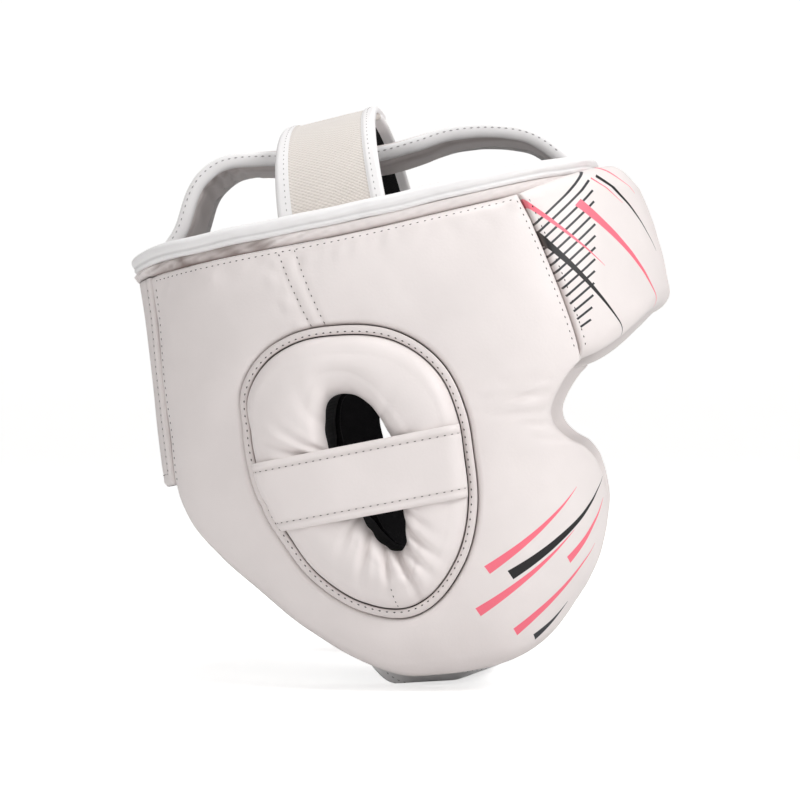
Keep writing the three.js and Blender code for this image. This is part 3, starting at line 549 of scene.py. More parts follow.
@dataclass(frozen=True)
class Effects:
    """The shader groups that several finishes share."""

    grain: bpy.types.NodeTree
    stripe: bpy.types.NodeTree
    weave: bpy.types.NodeTree
    seam: bpy.types.NodeTree

    @classmethod
    def build(cls) -> "Effects":
        """Builds each group once."""
        return cls(cls._grain(), cls._stripe(), cls._weave(), cls._seam())

    @staticmethod
    def _grain() -> bpy.types.NodeTree:
        """Fine pebble grain of coated leather with soft handling marks."""
        tree, net, ins, outs = new_group(
            "Leather Grain",
            [("Place", "NodeSocketVector", None), ("Pebbles", "NodeSocketFloat", 900.0),
             ("Marks", "NodeSocketFloat", 30.0)],
            [("Height", "NodeSocketFloat"), ("Tone", "NodeSocketFloat")])
        pebbles = net.node("ShaderNodeTexVoronoi", feature="SMOOTH_F1")
        net.feed(pebbles.inputs["Vector"], ins["Place"])
        net.feed(pebbles.inputs["Scale"], ins["Pebbles"])
        fine = net.node("ShaderNodeTexNoise")
        net.feed(fine.inputs["Vector"], ins["Place"])
        net.feed(fine.inputs["Scale"], net.math("MULTIPLY", ins["Pebbles"], 0.35))
        fine.inputs["Detail"].default_value = 4.0
        marks = net.node("ShaderNodeTexNoise")
        net.feed(marks.inputs["Vector"], ins["Place"])
        net.feed(marks.inputs["Scale"], ins["Marks"])
        marks.inputs["Detail"].default_value = 3.0
        net.feed(outs["Height"], net.math("ADD", net.math("MULTIPLY", pebbles.outputs["Distance"], 0.6),
                                   net.math("MULTIPLY", fine.outputs[0], 0.6)))
        net.feed(outs["Tone"], marks.outputs[0])
        return tree

    @staticmethod
    def _stripe() -> bpy.types.NodeTree:
        """Mask of one straight printed stripe that tapers along its length."""
        tree, net, ins, outs = new_group(
            "Tapered Stripe",
            [("Place", "NodeSocketVector", None), ("Start", "NodeSocketVector", None),
             ("Heading", "NodeSocketVector", None), ("Length", "NodeSocketFloat", 10.0),
             ("Start Width", "NodeSocketFloat", 3.0), ("End Width", "NodeSocketFloat", 0.0),
             ("Bow", "NodeSocketFloat", 0.0)],
            [("Mask", "NodeSocketFloat")])
        offset = net.vector("SUBTRACT", ins["Place"], ins["Start"]).outputs[0]
        along = net.vector("DOT_PRODUCT", offset, ins["Heading"]).outputs["Value"]
        turned = net.node("ShaderNodeSeparateXYZ")
        net.feed(turned.inputs[0], net.vector("CROSS_PRODUCT", offset, ins["Heading"]).outputs[0])
        share = net.math("DIVIDE", along, ins["Length"], clamp=True)
        arch = net.math("MULTIPLY", net.math("MULTIPLY", share, net.math("SUBTRACT", 1.0, share)), 4.0)
        bowed = net.math("SUBTRACT", turned.outputs[2], net.math("MULTIPLY", arch, ins["Bow"]))
        across = net.math("ABSOLUTE", bowed)
        width = net.math("ADD", net.math("MULTIPLY", ins["Start Width"], net.math("SUBTRACT", 1.0, share)),
                         net.math("MULTIPLY", ins["End Width"], share))
        edge = net.math("MULTIPLY_ADD", net.math("SUBTRACT", net.math("MULTIPLY", width, 0.5), across),
                        5.0, 0.5, clamp=True)
        inside = net.math("MULTIPLY", net.math("GREATER_THAN", along, 0.0),
                          net.math("LESS_THAN", along, ins["Length"]))
        net.feed(outs["Mask"], net.math("MULTIPLY", edge, inside))
        return tree

    @staticmethod
    def _weave() -> bpy.types.NodeTree:
        """Height and tone of a plain weave or a looped pile on panel coordinates."""
        tree, net, ins, outs = new_group(
            "Woven Tape",
            [("Place", "NodeSocketVector", None), ("Threads", "NodeSocketFloat", 3000.0),
             ("Fuzz", "NodeSocketFloat", 0.4)],
            [("Height", "NodeSocketFloat"), ("Tone", "NodeSocketFloat")])
        parts = net.node("ShaderNodeSeparateXYZ")
        scaled = net.vector("SCALE", ins["Place"])
        net.feed(scaled.inputs["Scale"], ins["Threads"])
        net.feed(parts.inputs[0], scaled.outputs[0])
        lift = net.math("MULTIPLY", net.math("SINE", parts.outputs[0]), net.math("SINE", parts.outputs[1]))
        fuzz = net.node("ShaderNodeTexNoise")
        net.feed(fuzz.inputs["Vector"], ins["Place"])
        net.feed(fuzz.inputs["Scale"], net.math("MULTIPLY", ins["Threads"], 0.5))
        fuzz.inputs["Detail"].default_value = 5.0
        height = net.math("ADD", net.math("MULTIPLY", lift, 0.5),
                          net.math("MULTIPLY", fuzz.outputs[0], ins["Fuzz"]))
        net.feed(outs["Height"], height)
        net.feed(outs["Tone"], net.math("MULTIPLY_ADD", height, 0.5, 0.35, clamp=True))
        return tree

    @staticmethod
    def _seam() -> bpy.types.NodeTree:
        """Darkens a colour towards a painted shade colour, by the mesh's own seam shade, in seams, folds,
        hollows and undersides.
        """
        tree, net, ins, outs = new_group(
            "Seam Shade",
            [("Clean", "NodeSocketColor", (1, 1, 1, 1)), ("Worn", "NodeSocketColor", (0.3, 0.28, 0.28, 1)),
             ("Amount", "NodeSocketFloat", 1.0)],
            [("Tint", "NodeSocketColor")])
        seam = net.node("ShaderNodeAttribute", attribute_name="seam_shade")
        share = net.math("MULTIPLY", seam.outputs["Fac"], ins["Amount"], clamp=True)
        net.feed(outs["Tint"], net.blend(share, ins["Clean"], ins["Worn"]))
        return tree


@dataclass(frozen=True)
class Stripe:
    """One printed stripe on a panel: turn and height of both ends, widths in millimetres."""

    start: Spot
    end: Spot
    start_width: float
    end_width: float = 0.0
    bow: float = 0.0


@dataclass(frozen=True)
class Print:
    """Stripes of one colour."""

    colour: tuple[float, float, float, float]
    stripes: tuple[Stripe, ...]


@dataclass(frozen=True)
class Finish:
    """One finish: its colour, gloss and surface detail."""

    name: str
    colour: tuple[float, float, float, float]
    roughness: float
    relief: float
    # Colour of the painted shade that seams, creases, hollows and undersides are darkened towards
    painted_shade_colour: tuple[float, float, float, float] = (0.3, 0.28, 0.28, 1)
    woven: float = 0.0
    fuzz: float = 0.0
    sheen: float = 0.0
    coat: float = 0.0
    coat_roughness: float = 0.3
    specular: float = 0.34
    gloss_spread: float = 0.16
    bump_strength: float = 0.6
    tone: float = 0.06
    prints: tuple[Print, ...] = ()

    def material(self, effects: Effects, arc_per_turn: float) -> bpy.types.Material:
        """Builds the material.

        Args:
            effects: The shared shader groups.
            arc_per_turn: Millimetres on a panel for a degree of turn.

        Returns:
            The material.
        """
        made = bpy.data.materials.new(self.name)
        made.use_nodes = True
        net = Net(made.node_tree)
        shader = net.tree.nodes["Principled BSDF"]
        places = net.node("ShaderNodeTexCoord")
        if self.woven:
            detail = net.group(effects.weave, place=places.outputs["UV"], threads=self.woven, fuzz=self.fuzz)
        else:
            detail = net.group(effects.grain, place=places.outputs["Object"])
        tone = net.math("MULTIPLY_ADD", detail.outputs["Tone"], self.tone * 2, 1.0 - self.tone)
        shaded = net.node("ShaderNodeHueSaturation")
        net.feed(shaded.inputs["Color"], self.colour)
        net.feed(shaded.inputs["Value"], tone)
        colour = shaded.outputs[0]
        if self.prints:
            panel = net.vector("SCALE", places.outputs["UV"])
            panel.inputs["Scale"].default_value = 1 / MM
            for ink in self.prints:
                mask = self._ink(net, effects, panel.outputs[0], ink, arc_per_turn)
                colour = net.blend(mask, colour, ink.colour)
        # Painted shade: the colour is darkened in seams, creases, hollows and undersides by the mesh's
        # seam_shade share
        tint = net.group(effects.seam, clean=colour, worn=self.painted_shade_colour)
        net.feed(shader.inputs["Base Color"], tint.outputs[0])
        net.feed(shader.inputs["Roughness"],
                 net.math("MULTIPLY_ADD", detail.outputs["Tone"], self.gloss_spread,
                          self.roughness - self.gloss_spread / 2))
        bump = net.node("ShaderNodeBump")
        bump.inputs["Distance"].default_value = self.relief * MM
        bump.inputs["Strength"].default_value = self.bump_strength
        net.feed(bump.inputs["Height"], detail.outputs["Height"])
        net.feed(shader.inputs["Normal"], bump.outputs[0])
        shader.inputs["Sheen Weight"].default_value = self.sheen
        shader.inputs["Coat Weight"].default_value = self.coat
        shader.inputs["Coat Roughness"].default_value = self.coat_roughness
        shader.inputs["Specular IOR Level"].default_value = self.specular
        return made

    @staticmethod
    def _ink(net: Net, effects: Effects, panel: Any, ink: Print, arc: float) -> Any:
        """Mask of all stripes of one colour.

        Args:
            net: Net of the material.
            effects: The shared shader groups.
            panel: Panel coordinates in millimetres.
            ink: The stripes and their colour.
            arc: Millimetres on a panel for a degree of turn.

        Returns:
            The socket of the mask.
        """
        mask = None
        for stripe in ink.stripes:
            start = Vector((stripe.start[0] * arc, stripe.start[1], 0))
            way = Vector((stripe.end[0] * arc, stripe.end[1], 0)) - start
            made = net.group(effects.stripe, place=panel, start=start, heading=way.normalized(),
                             length=way.length, start_width=stripe.start_width,
                             end_width=stripe.end_width, bow=stripe.bow).outputs[0]
            mask = made if mask is None else net.math("MAXIMUM", mask, made)
        return mask


PINK = (0.92, 0.17, 0.235, 1)
BLACK = (0.012, 0.011, 0.012, 1)
SLATE = (0.028, 0.029, 0.034, 1)
OFF_WHITE = (0.80, 0.742, 0.728, 1)

CHEEK_PRINTS = (
    Print(PINK, (
        Stripe((81.9, 47.5), (52.8, 76.0), 4.6, 0.2, -2.0),
        Stripe((86.8, 28.8), (55.5, 56.5), 4.6, 0.2, -2.0),
        Stripe((57.9, 43.0), (40.2, 67.5), 4.2, 0.2, -1.2),
        Stripe((77.1, 15.3), (45.5, 47.2), 4.2, 0.2, -2.0))),
    Print(BLACK, (Stripe((76.0, 42.8), (39.0, 77.5), 5.0, 0.2, -3.0),)),
    Print(SLATE, (Stripe((70.5, 10.3), (56.5, 23.0), 3.2, 0.2, -0.8),)),
)


def hatch(count: int, start: tuple[Spot, Spot], end: tuple[Spot, Spot], width: float) -> tuple[Stripe, ...]:
    """Even short bars between two lines.

    Args:
        count: Number of bars.
        start: First and last start of a bar.
        end: First and last end of a bar.
        width: Width of a bar.

    Returns:
        The bars.
    """
    bars = []
    for i in range(count):
        share = i / (count - 1)
        ends = [tuple(a + (b - a) * share for a, b in zip(*line)) for line in (start, end)]
        bars.append(Stripe(ends[0], ends[1], width, width))
    return tuple(bars)


BROW_PRINTS = (
    Print(SLATE, hatch(14, ((52.2, 199.5), (47.4, 149.0)), ((30.6, 224.0), (44.4, 151.5)), 1.05)),
    Print(PINK, (
        Stripe((52.4, 214.5), (37.0, 175.5), 3.0, 0.2, 0.8),
        Stripe((38.4, 208.0), (19.0, 152.0), 5.0, 0.3, 1.5),
        Stripe((30.5, 219.5), (24.0, 205.0), 1.2, 0.2),
        Stripe((23.5, 226.0), (15.5, 210.0), 1.8, 0.3, 0.6))),
    Print(BLACK, (
        Stripe((51.8, 197.5), (35.0, 141.0), 4.0, 0.2, 1.2),
        Stripe((28.0, 220.5), (14.0, 180.0), 2.6, 0.3, 1.2))),
)


@dataclass(frozen=True)
class Finishes:
    """Materials made once and used by every sub-assembly."""

    leather: bpy.types.Material
    cheek: bpy.types.Material
    brow: bpy.types.Material
    tape: bpy.types.Material
    pile: bpy.types.Material
    lining: bpy.types.Material
    thread: bpy.types.Material
    pale_thread: bpy.types.Material

    @classmethod
    def build(cls, shell: Shell) -> "Finishes":
        """Builds every material for a shell."""
        effects = Effects.build()
        arc = shell.arc_per_turn
        leather = dict(colour=OFF_WHITE, roughness=0.46, relief=0.10, painted_shade_colour=(0.26, 0.20, 0.18, 1),
                       coat=0.04)

        def make(finish: Finish) -> bpy.types.Material:
            """Material of a finish."""
            return finish.material(effects, arc)

        return cls(
            leather=make(Finish("white leather", **leather)),
            cheek=make(Finish("white leather with cheek print", prints=CHEEK_PRINTS, **leather)),
            brow=make(Finish("white leather with brow print", prints=BROW_PRINTS, **leather)),
            tape=make(Finish("white binding tape", (0.875, 0.86, 0.86, 1), 0.55, 0.06,
                             painted_shade_colour=(0.34, 0.32, 0.32, 1), tone=0.04, sheen=0.1)),
            pile=make(Finish("beige hook-and-loop", (0.70, 0.645, 0.60, 1), 0.92, 0.5, woven=2600.0,
                             fuzz=0.9, sheen=0.5, tone=0.16)),
            lining=make(Finish("black brushed lining", (0.006, 0.0055, 0.0065, 1), 0.95, 0.3, woven=2600.0,
                               fuzz=1.0, sheen=0.02, tone=0.3, painted_shade_colour=(0.004, 0.004, 0.004, 1))),
            thread=make(Finish("dark thread", (0.035, 0.028, 0.027, 1), 0.8, 0.02, tone=0.1)),
            pale_thread=make(Finish("pale thread", (0.42, 0.40, 0.40, 1), 0.8, 0.02, tone=0.1)),
        )


def dress(obj: bpy.types.Object, slot: Slot, *materials: bpy.types.Material, replaces: Sequence[str] = ()
          ) -> bpy.types.Object:
    """Gives a piece its materials and its body, and hides the nodes that it stands for.

    Args:
        obj: The piece.
        slot: Material slot of the record. Not used.
        materials: Materials in the order of the mesh's material numbers.
        replaces: Nodes that the piece stands for.

    Returns:
        The piece.
    """
    for material in materials:
        obj.data.materials.append(material)
    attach(obj, "root")
    if replaces:
        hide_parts(*replaces)
    LOG.info("%s: %d faces", obj.name, len(obj.data.polygons))
    return obj


def sewn_sheet(obj: bpy.types.Object, outline: np.ndarray, hole: np.ndarray | None = None) -> None:
    """Logs the flat size that a sheet sewn in without slack was cut to.

    The shell's turns are only nearly lengths, so the cut's width is scaled until its area is one face's area.

    Args:
        obj: The piece.
        outline: Outline of the cut as rows of two lengths, in millimetres.
        hole: Outline of the hole in it, where there is one.
    """

    def enclosed(points: np.ndarray) -> float:
        """Area inside a closed outline."""
        across, up = points.T
        return float(abs(np.sum(across * np.roll(up, -1) - up * np.roll(across, -1))) / 2)

    drawn = (enclosed(outline) - (0.0 if hole is None else enclosed(hole))) * MM**2
    area = sum(polygon.area for polygon in obj.data.polygons) / 2
    width, length = (float(side) * MM for side in np.ptp(outline, axis=0))
    width *= area / drawn
    LOG.info("%s: cut %.1f x %.1f mm, %.1f square cm", obj.name, width / MM, length / MM, area / MM**2 / 100)


def quarter(steps: int) -> tuple[np.ndarray, np.ndarray]:
    """Inset and drop of a quarter round, as shares, from the wall to the crown."""
    angle = np.linspace(0, np.pi / 2, steps)
    return 1 - np.cos(angle), 1 - np.sin(angle)


# Sub-assemblies


@dataclass(frozen=True)
class Ear:
    """The ear opening: its middle, its outline and its hole."""

    turn: float = 106.0
    height: float = 99.0
    opening_height: float = 144.0
    hole_height: float = 80.0
    welt_width: float = 4.0
    gap: float = 0.45
    arc_per_turn: float = math.radians(1) * 107.0 * 1.03
    opening: Rows = ((0, 0.356), (20, 0.392), (36, 0.45), (48, 0.523), (60, 0.556), (72, 0.552),
                     (90, 0.52), (114, 0.495), (134, 0.458), (156, 0.396), (178, 0.357), (205, 0.366),
                     (235, 0.407), (268, 0.456), (290, 0.436), (312, 0.392), (336, 0.354), (360, 0.356))
    hole: Rows = ((0, 0.19), (30, 0.235), (52, 0.32), (64, 0.44), (76, 0.545), (90, 0.525),
                  (102, 0.45), (118, 0.335), (138, 0.26), (165, 0.19), (190, 0.165), (215, 0.18),
                  (240, 0.285), (258, 0.43), (270, 0.4), (284, 0.3), (300, 0.21), (330, 0.175),
                  (360, 0.19))

    def opening_reach(self, bearing: Any) -> np.ndarray:
        """Reach of the opening, outside its welt, at bearings in degrees."""
        return self.opening_height * smooth_value(self.opening, np.mod(bearing, 360))

    def hole_reach(self, bearing: Any) -> np.ndarray:
        """Reach of the hole at bearings in degrees."""
        return self.hole_height * smooth_value(self.hole, np.mod(bearing, 360))

    def pad_reach(self, bearing: Any) -> np.ndarray:
        """Reach of the ear pad at bearings in degrees."""
        return self.opening_reach(bearing) - self.welt_width - self.gap

    def spot(self, bearing: Any, distance: Any) -> tuple[np.ndarray, np.ndarray]:
        """Turn and height at a bearing in degrees and a distance from the middle."""
        angle = np.radians(bearing)
        turn = self.turn + distance * np.cos(angle) / self.arc_per_turn
        return turn, self.height + distance * np.sin(angle)

    def flat(self, turn: Any, height: Any) -> tuple[np.ndarray, np.ndarray]:
        """Flat coordinates about the middle."""
        return (np.asarray(turn) - self.turn) * self.arc_per_turn, np.asarray(height) - self.height


@dataclass
class Headgear:
    """What every sub-assembly needs: the shell, the ear, the lie, the finishes and the stitching."""

    shell: Shell
    ear: Ear
    lie: Lie
    finishes: Finishes
    stitching: Stitching
    pale_stitching: Stitching

    def surface(self, side: Side, turn: Any, height: Any, depth: Any) -> np.ndarray:
        """Points of the shell as they lie, on a side of the head."""
        return self.lie.world(self.shell.place(np.asarray(turn, float) * side, height, depth))

    def sew(self, side: Side, turn: Any, height: Any, onto: bpy.types.Object, reach: float = 16.0,
            depth: float = 8.0, ray: float = 30.0) -> None:
        """Adds a row of stitches on a piece, straight below places on the shell.

        Args:
            side: Side of the head.
            turn: Turns of the row.
            height: Heights of the row.
            onto: Piece that carries the stitches.
            reach: How far outside the shell the search starts, in millimetres.
            depth: Depth below the leather that the search aims at, in millimetres.
            ray: How far it looks, in millimetres.
        """
        mesh = onto.data
        tree = BVHTree.FromPolygons([v.co for v in mesh.vertices], [p.vertices for p in mesh.polygons])
        outer = self.surface(side, turn, height, -reach) * MM
        inner = self.surface(side, turn, height, depth) * MM
        path, outward = [], []
        for start, end in zip(outer, inner):
            aim = Vector(end - start)
            spot, normal, _, _ = tree.ray_cast(Vector(start), aim.normalized(), ray * MM)
            if spot is not None:
                path.append(np.array(spot) / MM)
                outward.append(np.array(normal if normal.dot(aim) < 0 else -normal))
        if len(path) > 2:
            self.stitching.run(np.array(path), np.array(outward))


@dataclass
class SidePad:
    """Padded side: temple, cheek and jaw in one piece round the ear opening."""

    gear: Headgear
    side: Side
    thickness: float = 26.0
    seam_rounding: float = 5.0
    cheek_rounding: float = 11.0
    lining_thickness: float = 2.0
    fullness: float = 1.7
    seam_gap: float = 0.7
    front_rounding: float = 2.4
    ear_rounding: float = 3.6
    cheek: Rows = ((48.2, 0.623), (51.2, 0.601), (54.6, 0.561), (56.2, 0.525), (54.8, 0.491),
                   (50.5, 0.459), (43.5, 0.43), (36.5, 0.383), (32.4, 0.309), (33.2, 0.231),
                   (37.0, 0.157), (44.0, 0.098), (54.0, 0.049), (69.0, 0.013), (88.0, 0.0),
                   (105.0, 0.006), (117.0, 0.023), (127.0, 0.08), (135.0, 0.162), (143.5, 0.27),
                   (151.0, 0.36), (156.5, 0.439), (158.0, 0.52))
    strip: tuple[tuple[Spot, Spot], tuple[Spot, Spot]] = (
        ((119.3, 214.0), (112.2, 171.5)), ((115.1, 214.0), (109.0, 172.5)))
    notch_creases: tuple[tuple[Spot, Spot, float], ...] = (
        ((76.0, 125.0), (56.8, 121.6), 1.2), ((74.5, 117.5), (57.4, 113.0), 1.0),
        ((70.0, 131.0), (56.6, 128.6), 0.7), ((68.0, 111.0), (56.0, 106.4), 0.7),
        ((81.0, 121.5), (66.0, 118.8), 0.6), ((66.0, 104.0), (54.0, 98.0), 0.5))

    front_rays: int = 25
    cheek_rays: int = 200
    nape_rays: int = 20
    top_rays: int = 100
    blend_rays: int = 18
    even_rays: int = 9

    def rays(self) -> tuple[np.ndarray, np.ndarray, np.ndarray]:
        """Rays from the ear to the outline.

        Returns:
            Bearings in degrees, reaches and roundings of the edge.
        """
        shell, ear = self.gear.shell, self.gear.ear
        low = self.cheek[0][1] * shell.height
        heights = np.linspace(float(shell.top_height(shell.front_seam_top)), low, self.front_rays + 1)[:-1]
        gap = self.seam_gap / shell.arc_per_turn / 2
        turn, height = [shell.front_seam(heights) + gap], [heights]
        rounding = [np.full(self.front_rays, self.front_rounding)]
        edge = np.array(self.cheek) * [shell.arc_per_turn, shell.height]
        run = np.concatenate([[0], np.cumsum(np.linalg.norm(np.diff(edge, axis=0), axis=1) ** 0.5)])
        fine = np.linspace(0, run[-1], self.cheek_rays)
        turn.append(smooth_value(list(zip(run, edge[:, 0])), fine) / shell.arc_per_turn)
        height.append(smooth_value(list(zip(run, edge[:, 1])), fine))
        from_front = np.arange(self.cheek_rays) / self.blend_rays
        from_back = (self.cheek_rays - 1 - np.arange(self.cheek_rays)) / self.blend_rays
        least = np.where(from_front < from_back, self.front_rounding, self.seam_rounding)
        ease = np.clip(np.minimum(from_front, from_back), 0, 1)
        rounding.append(least + (self.cheek_rounding - least) * ease)
        nape, top = self.cheek[-1][1] * shell.height, float(shell.top_height(shell.back_seam))
        turn.append(np.full(self.nape_rays, shell.back_seam))
        height.append(np.linspace(nape, top, self.nape_rays + 1)[1:])
        rounding.append(np.full(self.nape_rays, self.seam_rounding))
        turns = np.linspace(shell.back_seam, shell.front_seam_top, self.top_rays + 2)[1:-1]
        turn.append(turns)
        height.append(shell.top_height(turns))
        rounding.append(shell.top_rounding(turns))
        x, y = ear.flat(np.concatenate(turn), np.concatenate(height))
        soft = np.concatenate(rounding)
        window, wrap = np.ones(self.even_rays) / self.even_rays, self.even_rays // 2
        soft = np.convolve(np.concatenate([soft[-wrap:], soft, soft[:wrap]]), window, mode="valid")
        return np.degrees(np.arctan2(y, x)), np.hypot(x, y), soft

    def relief(self, turn: np.ndarray, height: np.ndarray) -> np.ndarray:
        """Outward relief of the leather: seams, creases and soft unevenness."""
        arc = self.gear.shell.arc_per_turn
        x, y = turn * arc, height

        def scaled(spot: Spot) -> Spot:
            """Panel coordinates of a turn and height."""
            return spot[0] * arc, spot[1]

        total = 0.45 * ripple(x, y, 46, 3) + 0.12 * ripple(x, y, 15, 5)
        for start, end, depth in self.notch_creases:
            total = total + crease(x, y, scaled(start), scaled(end), 1.7, depth)
        for start, end in self.strip:
            across, along = near_line(x, y, scaled(start), scaled(end))
            fade = smoothstep(along, -0.05, 0.03) * (1 - smoothstep(along, 0.97, 1.05))
            total = total - 0.5 * fade * bell(across, 0, 1.2)
        across, along = near_line(x, y, scaled(self.strip[0][0]), scaled(self.strip[0][1]))
        beside = bell(across, -6, 5) * ((along > 0) & (along < 1))
        total = total + 0.3 * beside * ripple(x, y, 9, 8)
        top = self.gear.shell.top_height(turn)
        pucker = bell(top - y, 7, 6)
        return total + pucker * 0.35 * ripple(x, y * 0.4, 8, 11)

    def seam_shade(self, turn: np.ndarray, height: np.ndarray) -> np.ndarray:
        """Share of shade in the sewn strip above the ear."""
        arc = self.gear.shell.arc_per_turn
        total = np.zeros_like(turn)
        for start, end in self.strip:
            across, along = near_line(turn * arc, height, (start[0] * arc, start[1]), (end[0] * arc, end[1]))
            total += 0.16 * bell(across, 0, 0.8) * ((along > -0.02) & (along < 1.02))
        return total

    def build(self) -> None:
        """Makes the pad, its lining and its seams."""
        gear, ear = self.gear, self.gear.ear
        bearing, reach, rounding = (v[:, None] for v in self.rays())
        panel = ear.opening_reach(bearing) + ear.gap
        inset, drop = (v[None, :] for v in quarter(9))
        face = np.linspace(0, 1, 40)[None, 1:-1] + 0.0 * reach
        start, end = panel + self.ear_rounding, reach - rounding
        outer_inset, outer_drop = inset[:, ::-1], drop[:, ::-1]
        bulge = np.sin(np.pi * face) ** 0.8 * self.fullness * np.clip((end - start) / 30, 0.3, 1)
        walls = np.array([[0.55, 0.8, 1.0]])
        distance = np.concatenate([
            panel + 0 * inset[:, :1], panel + self.ear_rounding * inset, start + (end - start) * face,
            reach - rounding * outer_inset, reach - 1.2 * np.sin(np.pi * walls),
            panel + (reach - panel) * np.array([[0.85, 0.5, 0.15]]), panel], axis=1)
        depth = np.concatenate([
            np.full_like(panel, 9.0), self.ear_rounding * drop + 0 * panel, -bulge,
            rounding * outer_drop, self.thickness * walls + 0 * panel,
            np.full((len(panel), 4), self.thickness)], axis=1)
        turn, height = ear.spot(bearing, distance)
        facing = np.zeros(depth.shape[1])
        facing[1:1 + 2 * inset.shape[1] + face.shape[1]] = 1
        strength = facing * np.clip(1.4 - depth / 8, 0, 1)
        relief = self.relief(turn, height) * strength
        # Painted shade in the sewn strip's grooves and on the wall that drops into the ear opening, darkest
        # at its foot
        shade = self.seam_shade(turn, height) * facing
        shade[:, :4] += np.linspace(0.55, 0.0, 4)
        points = gear.surface(self.side, turn, height, depth - relief)
        uv = gear.shell.panel(turn, height)
        obj = loft(f"side_padding_{self.side.label}", points, True, uv, shade)
        dress(obj, Slot.LEATHER, gear.finishes.cheek, replaces=[f"side_pad_{self.side.label}"])
        self.line(bearing, reach, panel)
        self.sew(obj)

    def line(self, bearing: np.ndarray, reach: np.ndarray, panel: np.ndarray) -> None:
        """Makes the brushed lining on the inside."""
        gear, ear = self.gear, self.gear.ear
        hole = ear.hole_reach(bearing)
        inner = np.linspace(0, 1, 26)[None, :]
        distance = np.concatenate([
            reach + 0 * hole, (hole + reach) / 2, hole, hole + (reach - hole) * inner], axis=1)
        low, high = self.thickness + ear.gap, self.thickness + ear.gap + self.lining_thickness
        turn, height = ear.spot(bearing, distance)
        wave = ripple(turn[:, 3:] * RIPPLE_ARC, height[:, 3:], 20, 21)
        soft = 1.1 * np.sin(np.pi * inner) ** 0.5 + 0.25 * wave
        depth = np.concatenate([np.full((len(reach), 3), low), high + np.clip(soft - 0.6, -0.6, 2)], axis=1)
        uv = gear.shell.panel(turn, height)
        obj = loft(f"lining_{self.side.label}", gear.surface(self.side, turn, height, depth), True, uv)
        dress(obj, Slot.LINING, gear.finishes.lining, replaces=[f"side_lining_{self.side.label}"])
        sewn_sheet(obj, uv[:, 0], uv[:, 2])

    def sew(self, pad: bpy.types.Object) -> None:
        """Adds the rows of stitches on the pad."""
        gear, shell = self.gear, self.gear.shell
        for start, end in self.strip:
            share = np.linspace(-0.03, 1.0, 40)
            turn, height = (a + (b - a) * share for a, b in zip(start, end))
            gear.sew(self.side, turn, height, pad)
        turns = np.linspace(shell.front_seam_top + 2, shell.back_seam - 2, 200)
        gear.sew(self.side, turns, shell.top_height(turns) - 2.6, pad)
        heights = np.linspace(shell.height * 0.55, shell.height * 1.0, 80)
        gear.sew(self.side, np.full(80, shell.back_seam - 2.8), heights, pad)
        heights = np.linspace(shell.height * 0.645, shell.height * 0.99, 80)
        gear.sew(self.side, shell.front_seam(heights) + 1.6, heights, pad)


